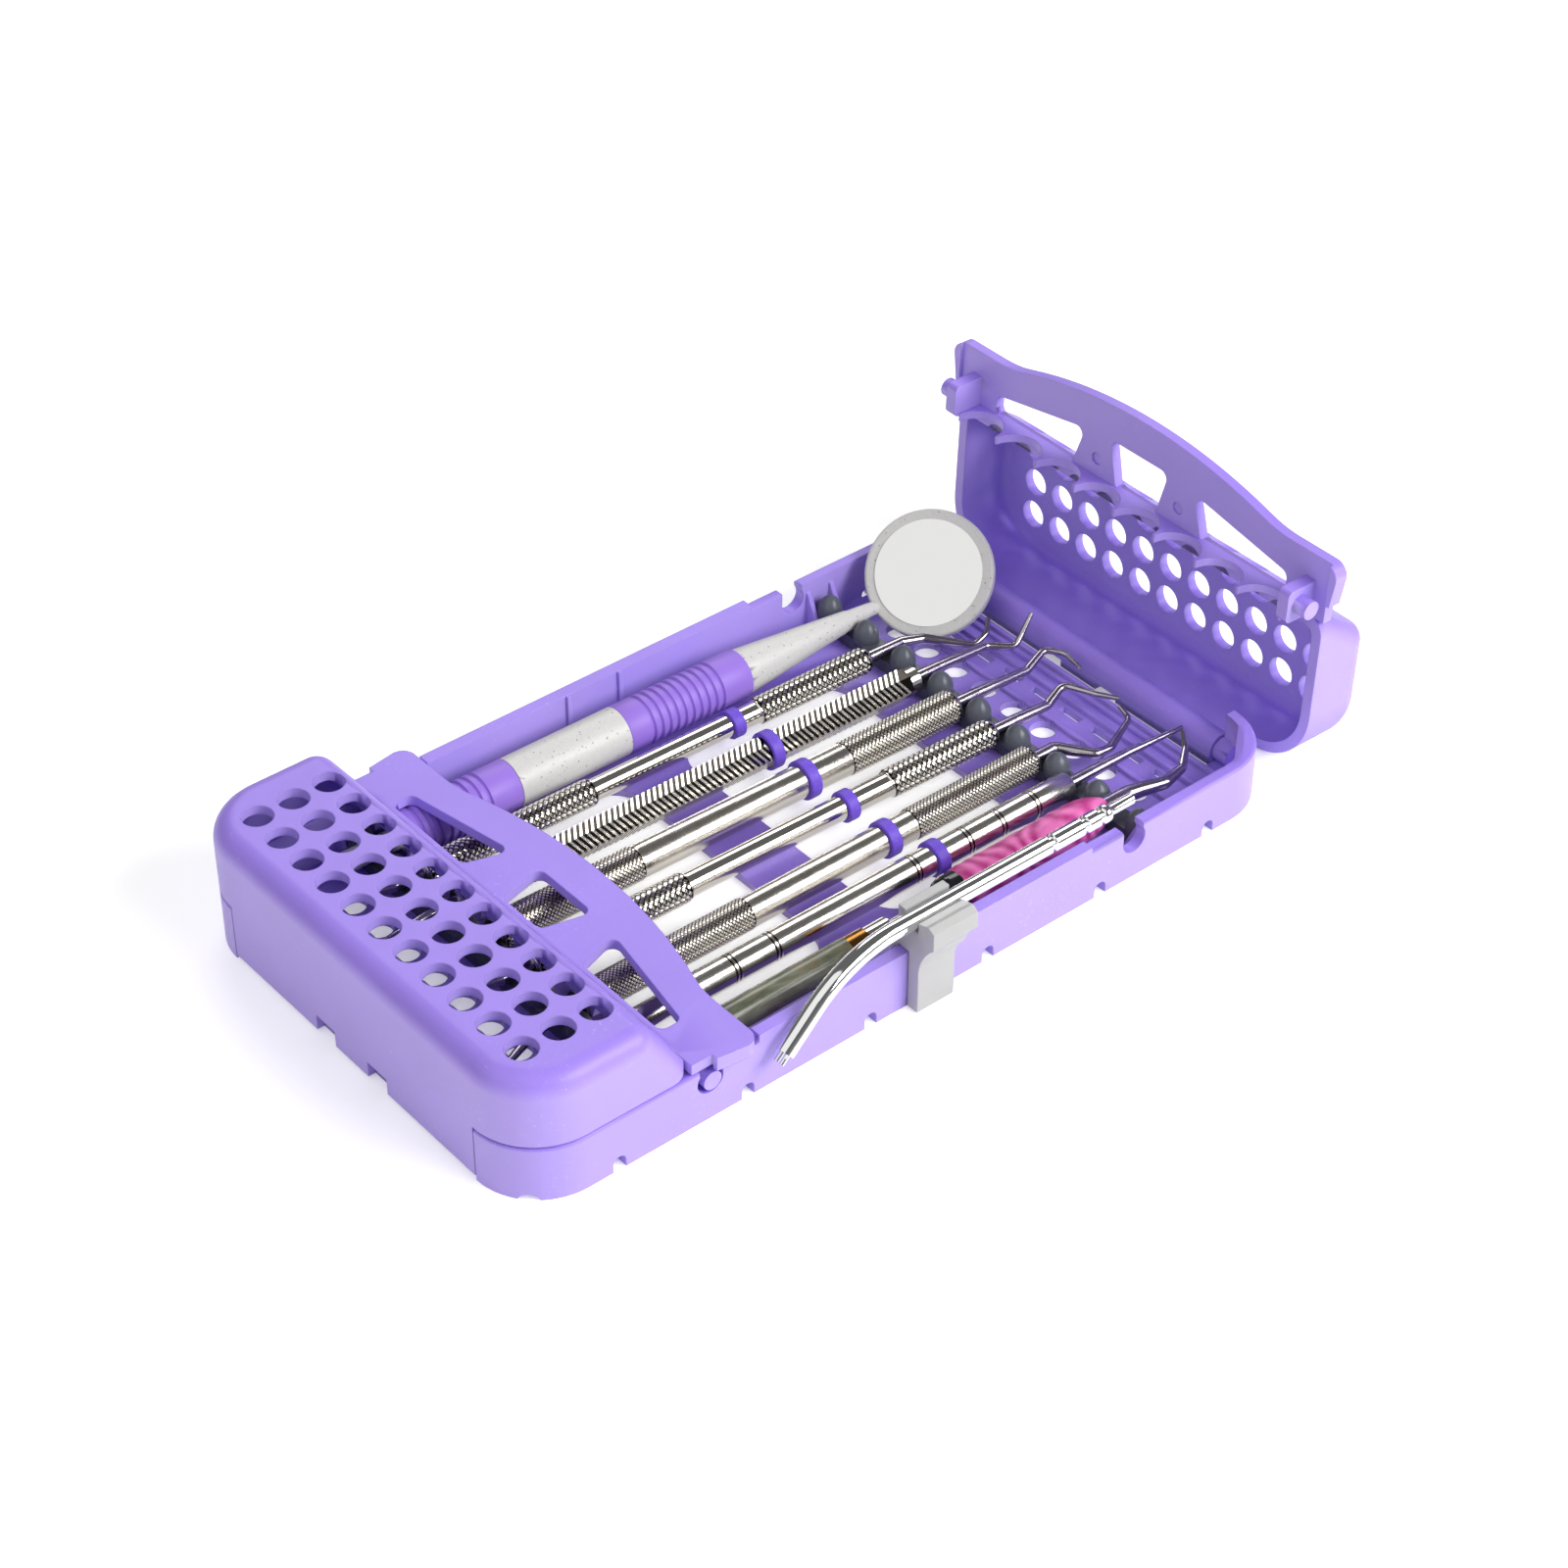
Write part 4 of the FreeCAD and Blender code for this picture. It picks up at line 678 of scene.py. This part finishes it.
class CASSETTE_OT_knurled_handles(bpy.types.Operator):
    """Makes the four turned handles with their knurled ends"""
    bl_idname = "cassette.knurled_handles"
    bl_label = "Knurled handles"

    def execute(self, context):
        sizes = context.scene.cassette_sizes
        bright = stainless_steel("polished_stainless", roughness=0.1, lines=0.08)
        satin = stainless_steel("satin_stainless", roughness=0.2, lines=0.4, colour="#CFCAC2")
        depth = sizes.knurl_depth / MM
        coarse, fine = sizes.coarse_pitch / MM, sizes.fine_pitch / MM
        self.handle(
            "slim", bright, "polished_steel", count=26, pitch=coarse, depth=depth, flat=0.46,
            grip=3.2, middle=2.6, first_end=44.2, last_start=88.8,
        )
        self.handle(
            "wide", satin, "satin_steel", count=44, pitch=fine, depth=0.26, flat=0.45,
            grip=4.0, middle=3.8, first_end=37.0, last_start=92.6,
        )
        self.handle(
            "polished", bright, "polished_steel", count=28, pitch=coarse, depth=depth, flat=0.46,
            grip=3.4, middle=2.8, first_end=40.0, last_start=94.1,
        )
        self.handle(
            "satin", satin, "satin_steel", count=44, pitch=0.95, depth=0.22, flat=0.42,
            grip=3.7, middle=3.5, first_end=44.4, last_start=88.6,
        )
        return {"FINISHED"}

    def handle(self, kind, steel, slot, count, pitch, depth, flat, grip, middle, first_end, last_start):
        """A handle that is knurled from its left end to first_end, and from last_start on.
        grip and middle are radii, count and pitch give the diamonds, and flat is the share of
        each diamond that stays uncut."""
        node = f"{kind}_handle"
        start, end = axis_of(node)
        length = (end - start).length / MM
        foot = grip - depth
        rim, rim_drop, end_drop, end_turned, band_inset = 0.25, 0.5, 0.8, 0.8, 0.9
        blend, shoulder, run_out = 0.2, 0.3, 0.5
        sections = [
            ("plain", [(0.0, grip - end_drop), (rim, grip - rim_drop), (end_turned, foot)]),
            ("knurl", (band_inset, first_end - run_out, grip, pitch, depth, flat)),
            ("plain", [(first_end - shoulder, foot), (first_end, min(middle, foot)),
                       (first_end + blend, middle), (last_start - blend, middle),
                       (last_start, min(middle, foot)), (last_start + shoulder, foot)]),
            ("knurl", (last_start + run_out, length - band_inset, grip, pitch, depth, flat)),
            ("plain", [(length - end_turned, foot), (length - rim, grip - rim_drop),
                       (length, grip - end_drop)]),
        ]
        points, faces, cut, groove = turned_handle(count, sections)
        new_piece(f"{kind}_knurled_handle", points, faces, node, steel,
                  along(start, end), flat_faces=cut, groove=groove)


class CASSETTE_OT_faceted_handle(bpy.types.Operator):
    """Makes the six-sided handle with its herringbone ribs"""
    bl_idname = "cassette.faceted_handle"
    bl_label = "Faceted handle"

    def execute(self, context):
        steel = stainless_steel("chased_stainless", roughness=0.16, lines=0.1)
        start, end = axis_of("hex_handle")
        length = (end - start).length / MM
        core, rib, collar, pitch, slant, width = 2.9, 3.2, 3.0, 1.5, 2.4, 0.95
        collar_height, chamfer, chamfer_drop, spindle_drop = 0.2, 0.4, 0.6, 0.4
        overlap, first_gap, last_gap, around = 0.2, 0.4, 0.3, 48
        round_end = core + collar_height
        spindle = core - spindle_drop
        points, faces = lathe(
            [(0.0, round_end - chamfer_drop), (chamfer, round_end), (collar, round_end),
             (collar, spindle), (length - collar, spindle), (length - collar, round_end),
             (length - chamfer, round_end), (length, round_end - chamfer_drop)], around)
        groove = [0.0] * len(points)
        self.body(points, faces, collar - overlap, length - collar + overlap, core)
        # The whole core between the ribs is marked as groove, so the steel is painted dark there: dirt
        # and painted shade.
        groove += [1.0] * (len(points) - len(groove))
        place = collar + first_gap
        while place + slant + width < length - collar - last_gap:
            self.zigzag(points, faces, place, slant, width, core, rib)
            place += pitch
        groove += [0.0] * (len(points) - len(groove))
        new_piece("hex_chased_handle", points, faces, "hex_handle", steel,
                  along(start, end), angle=20.0, groove=groove)
        return {"FINISHED"}

    def corner(self, number, flat_radius):
        """Cross-section place of one corner of the six-sided body."""
        radius = flat_radius / math.cos(math.pi / 6) * MM
        angle = math.pi / 3 * number
        return radius * math.cos(angle), radius * math.sin(angle)

    def body(self, points, faces, x0, x1, flat_radius):
        """The six-sided core."""
        base = len(points)
        for x in (x0, x1):
            points += [(x * MM, *self.corner(n, flat_radius)) for n in range(6)]
        faces.append(tuple(base + n for n in reversed(range(6))))
        faces.append(tuple(base + 6 + n for n in range(6)))
        for n in range(6):
            m = (n + 1) % 6
            faces.append((base + n, base + m, base + 6 + m, base + 6 + n))

    def zigzag(self, points, faces, place, slant, width, core, rib):
        """One closed rib that leans one way on each facet and the other way on the next."""
        base = len(points)
        foot, bevel = core - 0.15, 0.15 * width
        for n in range(6):
            lean = slant * (n % 2)
            for x, radius in ((0.0, foot), (bevel, rib), (0.85 * width, rib), (width, foot)):
                points.append(((place + lean + x) * MM, *self.corner(n, radius)))
        for n in range(6):
            m = (n + 1) % 6
            for side in range(4):
                after = (side + 1) % 4
                faces.append((base + 4 * n + side, base + 4 * m + side,
                              base + 4 * m + after, base + 4 * n + after))


class CASSETTE_OT_tube_handle(bpy.types.Operator):
    """Makes the plain handle with its pairs of grooves and its stepped end"""
    bl_idname = "cassette.tube_handle"
    bl_label = "Grooved handle"

    def execute(self, context):
        steel = stainless_steel("turned_stainless", roughness=0.17, lines=0.2)
        start, end = axis_of("tube_handle")
        length = (end - start).length / MM
        body, waist, cut, around = 3.3, 2.7, 0.28, 64
        nose, nose_drop, neck_drop = 0.6, 0.7, 0.5
        neck_start, neck_end, waist_end, body_start = 3.0, 3.8, 14.2, 14.8
        groove_places = (18.6, 19.6, 30.0, 31.0, 40.6, 41.6, 79.0, 80.0,
                         93.6, 94.6, 103.0, 104.0, 113.0, 114.0)
        mouth, bottom = 0.3, 0.15
        end_turned, end_drop, rim, rim_drop = 0.9, 0.9, 0.3, 0.3
        profile = [(0.0, waist - nose_drop), (nose, waist), (neck_start, waist),
                   (neck_start, waist - neck_drop), (neck_end, waist - neck_drop),
                   (neck_end, waist), (waist_end, waist), (body_start, body)]
        for place in groove_places:
            profile += [(place - mouth, body), (place - bottom, body - cut),
                        (place + bottom, body - cut), (place + mouth, body)]
        profile += [(length - end_turned, body), (length - rim, body - rim_drop),
                    (length, body - end_drop)]
        points, faces = lathe(profile, around)
        # The floors of the cut grooves are marked, so the steel is painted dark there: dirt and painted
        # shade.
        groove = [float(radius == body - cut) for x, radius in profile for step in range(around)]
        new_piece("tube_grooved_handle", points, faces, "tube_handle", steel,
                  along(start, end), groove=groove)
        return {"FINISHED"}


class CASSETTE_OT_rings(bpy.types.Operator):
    """Makes the soft marking rings"""
    bl_idname = "cassette.rings"
    bl_label = "Marking rings"

    def execute(self, context):
        half, wall, corner, around = 1.5, 0.8, 0.38, 56
        rubber = moulded_silicone(
            "ring_silicone", context.scene.cassette_colours.rings, roughness=0.5, pits=0.6,
            speckle="#B9A4F2", speckled=0.5,
        )
        for kind in STEEL_SETS:
            node = f"{kind}_ring"
            low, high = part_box(node)
            middle = (low + high) / 2
            start, end = axis_of(f"{kind}_handle")
            direction = (end - start).normalized()
            outer = (high.z - low.z) / 2 / MM
            points, faces = lathe(
                rounded_profile(0.0, 2 * half, outer - wall, outer, corner), around, closed=True
            )
            place = along(middle - direction * half * MM, middle + direction * half * MM)
            new_piece(f"{kind}_marking_ring", points, faces, node, rubber, place)
        return {"FINISHED"}


class CASSETTE_OT_working_ends(bpy.types.Operator):
    """Finishes the bent working ends of the steel instruments"""
    bl_idname = "cassette.working_ends"
    bl_label = "Working ends"

    def execute(self, context):
        steel = stainless_steel("drawn_stainless", roughness=0.16, lines=0.1, colour="#AEA6B0")
        for kind in STEEL_SETS + ("grip",):
            for side in ("left", "right"):
                node = f"{kind}_{side}_tip"
                dressed_moulding(f"{kind}_{side}_working_end", node, steel)
        return {"FINISHED"}


class CASSETTE_OT_soft_grip_instrument(bpy.types.Operator):
    """Makes the instrument with the pink grip and the olive handle"""
    bl_idname = "cassette.soft_grip_instrument"
    bl_label = "Soft grip instrument"

    def execute(self, context):
        self.grip()
        acetal = glossy_plastic("black_acetal", "#16181D")
        dressed_moulding("bolster_cap", "grip_bolster", acetal)
        chrome = stainless_steel("chromed_ferrule", roughness=0.07, lines=0.02)
        dressed_moulding("ferrule_chrome", "chrome_ferrule", chrome)
        gilt = stainless_steel("gilt_brass", roughness=0.2, lines=0.3, colour="#8F6430")
        dressed_moulding("brass_band", "gold_band", gilt)
        resin = olive_resin("olive_resin")
        dressed_moulding("olive_barrel", "olive_handle", resin)
        return {"FINISHED"}

    def grip(self):
        """The grip: a soft, slightly waisted sleeve with a raised swirl."""
        start, end = axis_of("silicone_grip")
        length = (end - start).length / MM
        around, rows = 144, 220
        body, nose_length, nose_drop, nose_curve = 4.75, 9.0, 2.2, 2.2
        tail_length, tail_drop, ridge_height = 1.2, 0.5, 0.13
        points, faces, swirl = [], [], []
        for row in range(rows + 1):
            x = length * row / rows
            nose = max(0.0, (x - length + nose_length) / nose_length)
            tail = max(0.0, (tail_length - x) / tail_length)
            radius = body - nose_drop * nose**nose_curve - tail_drop * tail**2
            for step in range(around):
                angle = 2 * math.pi * step / around
                wave = self.height(x, angle)
                swirl.append(wave)
                r = (radius + ridge_height * (wave - 1.0) * (1 - nose)) * MM
                points.append((x * MM, r * math.cos(angle), r * math.sin(angle)))
        for row in range(rows):
            for step in range(around):
                turn = (step + 1) % around
                faces.append((row * around + step, row * around + turn,
                              (row + 1) * around + turn, (row + 1) * around + step))
        faces.append(tuple(reversed(range(around))))
        faces.append(tuple(range(rows * around, (rows + 1) * around)))
        piece = new_piece("swirled_grip", points, faces, "silicone_grip",
                          marbled_silicone("marbled_silicone"), along(start, end), angle=60.0)
        layer = piece.data.attributes.new("swirl", "FLOAT", "POINT")
        layer.data.foreach_set("value", np.array(swirl, dtype=np.float32))

    def height(self, x, angle):
        """Height of the swirl from 0 to 1: curved ridges that bend round a few centres, each
        given by its place along the grip in millimetres and its angle."""
        centres = ((10.0, 0.3), (21.0, 2.2), (31.0, 0.6), (39.0, 3.0), (3.0, 4.4))
        radius, pull, spread = 4.8, 2.6, 40.0
        bend_share, advance, tilt, ridges = 2.3, 0.55, 1.2, 2.0
        bend = 0.0
        for centre, turn in centres:
            gap = math.remainder(angle - turn, 2 * math.pi) * radius
            bend += pull * math.exp(-((x - centre) ** 2 + gap**2) / spread)
        phase = bend_share * bend + advance * x + tilt * math.sin(angle)
        return 0.5 + 0.5 * math.sin(ridges * phase)


class CASSETTE_OT_clip_and_tube(bpy.types.Operator):
    """Finishes the wall clip and the chrome tube that it holds"""
    bl_idname = "cassette.clip_and_tube"
    bl_label = "Clip and tube"

    def execute(self, context):
        clip = moulded_polypropylene(
            "natural_polypropylene", linear("#B2B2B1"), roughness=0.38, scuffs_and_wall_sheen=False,
            translucency=0.3,
        )
        dressed_moulding("clip_moulding", "wall_clip", clip)
        chrome = stainless_steel("chromed_brass", roughness=0.05, colour="#E4E4E4")
        dressed_moulding("tube_chrome", "syringe_tip", chrome)
        return {"FINISHED"}


class CASSETTE_OT_studio(bpy.types.Operator):
    """Sets the pale floor, the soft studio lamps, the surroundings and the camera"""
    bl_idname = "cassette.studio"
    bl_label = "Studio"

    def execute(self, context):
        self.floor()
        self.lamp("key_softbox", place=(0.455, -0.91, 0.72), size=(0.9, 0.6), watts=16.7)
        self.lamp("back_softbox", place=(0.585, 0.806, 0.832), size=(0.8, 0.4), watts=4.5)
        self.lamp("overhead_panel", place=(-0.8, -0.1, 0.9), size=(1.6, 1.6), watts=7.4)
        self.surroundings(context)
        self.camera(context)
        context.scene.view_settings.view_transform = "Standard"
        return {"FINISHED"}

    def floor(self):
        """A white matt sheet under everything. Where it is seen directly, mirrored or through
        something clear, a faint glow keeps it as white as the photograph's ground."""
        half, glow_strength = 4.0, 0.36
        mesh = bpy.data.meshes.new("studio_floor")
        corners = [(-half, -half, 0), (half, -half, 0), (half, half, 0), (-half, half, 0)]
        mesh.from_pydata(corners, [], [(0, 1, 2, 3)])
        material, tree, mm = empty_material("white_paper")
        fibres = add(tree, "ShaderNodeTexNoise", {"Vector": mm, "Scale": 0.4, "Detail": 3.0})
        relief = add(tree, "ShaderNodeBump",
                     {"Height": fibres.outputs["Fac"], "Strength": 0.02, "Distance": 0.02 * MM})
        path = add(tree, "ShaderNodeLightPath")
        mirrored = add(
            tree, "ShaderNodeMath",
            {0: path.outputs["Is Camera Ray"], 1: path.outputs["Is Glossy Ray"]}, operation="MAXIMUM",
        )
        seen = add(
            tree, "ShaderNodeMath",
            {0: mirrored.outputs["Value"], 1: path.outputs["Is Transmission Ray"]},
            operation="MAXIMUM",
        )
        glow = add(
            tree, "ShaderNodeMath", {0: seen.outputs["Value"], 1: glow_strength}, operation="MULTIPLY"
        )
        paper = add(tree, "ShaderNodeBsdfPrincipled",
                    {"Base Color": linear("#FBFBFB"), "Roughness": 0.9, "Specular IOR Level": 0.1,
                     "Normal": relief.outputs["Normal"], "Emission Color": linear("#FFFFFF"),
                     "Emission Strength": glow.outputs["Value"]})
        finish_material(material, tree, paper.outputs["BSDF"])
        mesh.materials.append(material)
        floor = bpy.data.objects.new("studio_floor", mesh)
        bpy.context.scene.collection.objects.link(floor)

    def lamp(self, name, place, size, watts):
        """A rectangular softbox that faces the cassette, with its place and size in metres."""
        light = bpy.data.lights.new(name, "AREA")
        light.shape = "RECTANGLE"
        light.size, light.size_y = size
        light.energy = watts
        lamp = bpy.data.objects.new(name, light)
        lamp.location = place
        lamp.rotation_euler = (-Vector(place)).to_track_quat("-Z", "Y").to_euler()
        bpy.context.scene.collection.objects.link(lamp)

    def surroundings(self, context):
        """A dim studio, brighter near the floor than above: the metal shows it as the dark bands
        beside the lamps."""
        at_floor, above = 0.32, 0.15
        world = bpy.data.worlds.new("studio_surroundings")
        world.use_nodes = True
        tree = world.node_tree
        tree.nodes.clear()
        place = add(tree, "ShaderNodeTexCoord")
        axes = add(tree, "ShaderNodeSeparateXYZ", {"Vector": place.outputs["Generated"]})
        level = add(tree, "ShaderNodeMapRange",
                    {"Value": axes.outputs["Z"], "From Min": 0.0, "From Max": 0.5,
                     "To Min": at_floor, "To Max": above})
        glow = add(tree, "ShaderNodeBackground",
                   {"Color": linear("#FFFFFF"), "Strength": level.outputs["Result"]})
        add(tree, "ShaderNodeOutputWorld", {"Surface": glow.outputs["Background"]})
        context.scene.world = world

    def camera(self, context):
        """The photograph's viewpoint, fitted to it. place is in metres and the angles in
        degrees."""
        place = (-0.3716, -0.45507, 0.48855)
        angles = (-39.917, 38.621, 0.117)
        data = bpy.data.cameras.new("studio_camera")
        data.sensor_width = 36.0
        data.lens = 81.92
        data.clip_end = 20.0
        camera = bpy.data.objects.new("studio_camera", data)
        azimuth, elevation, roll = (math.radians(a) for a in angles)
        back = Vector((
            math.sin(azimuth) * math.cos(elevation),
            -math.cos(azimuth) * math.cos(elevation),
            math.sin(elevation),
        ))
        right = Vector((0, 0, 1)).cross(back).normalized()
        up = back.cross(right)
        turn = Matrix((right, up, back)).transposed() @ Matrix.Rotation(roll, 3, "Z")
        camera.matrix_world = Matrix.Translation(place) @ turn.to_4x4()
        context.scene.collection.objects.link(camera)
        context.scene.camera = camera


class CASSETTE_PT_panel(bpy.types.Panel):
    """Lists the steps and the values that can be changed"""
    bl_idname = "CASSETTE_PT_panel"
    bl_label = "Instrument cassette"
    bl_space_type = "VIEW_3D"
    bl_region_type = "UI"
    bl_category = "Cassette"

    def draw(self, context):
        for group in (context.scene.cassette_sizes, context.scene.cassette_colours):
            for name in group.__annotations__:
                self.layout.prop(group, name)
        for step in STEPS:
            self.layout.operator(step.bl_idname)


STEPS = (
    CASSETTE_OT_mouldings,
    CASSETTE_OT_rails,
    CASSETTE_OT_mirror,
    CASSETTE_OT_knurled_handles,
    CASSETTE_OT_faceted_handle,
    CASSETTE_OT_tube_handle,
    CASSETTE_OT_rings,
    CASSETTE_OT_working_ends,
    CASSETTE_OT_soft_grip_instrument,
    CASSETTE_OT_clip_and_tube,
    CASSETTE_OT_studio,
)
GROUPS = (CassetteSizes, CassetteColours)


def register():
    """Adds the groups, operators and panel to Blender."""
    for kind in GROUPS + STEPS + (CASSETTE_PT_panel,):
        bpy.utils.register_class(kind)
    bpy.types.Scene.cassette_sizes = bpy.props.PointerProperty(type=CassetteSizes)
    bpy.types.Scene.cassette_colours = bpy.props.PointerProperty(type=CassetteColours)


def unregister():
    """Takes them out again."""
    del bpy.types.Scene.cassette_colours
    del bpy.types.Scene.cassette_sizes
    for kind in reversed(GROUPS + STEPS + (CASSETTE_PT_panel,)):
        bpy.utils.unregister_class(kind)


def main():
    """Dresses the whole cassette."""
    register()
    for step in STEPS:
        group, name = step.bl_idname.split(".")
        getattr(getattr(bpy.ops, group), name)()


if __name__ == "__main__":
    main()
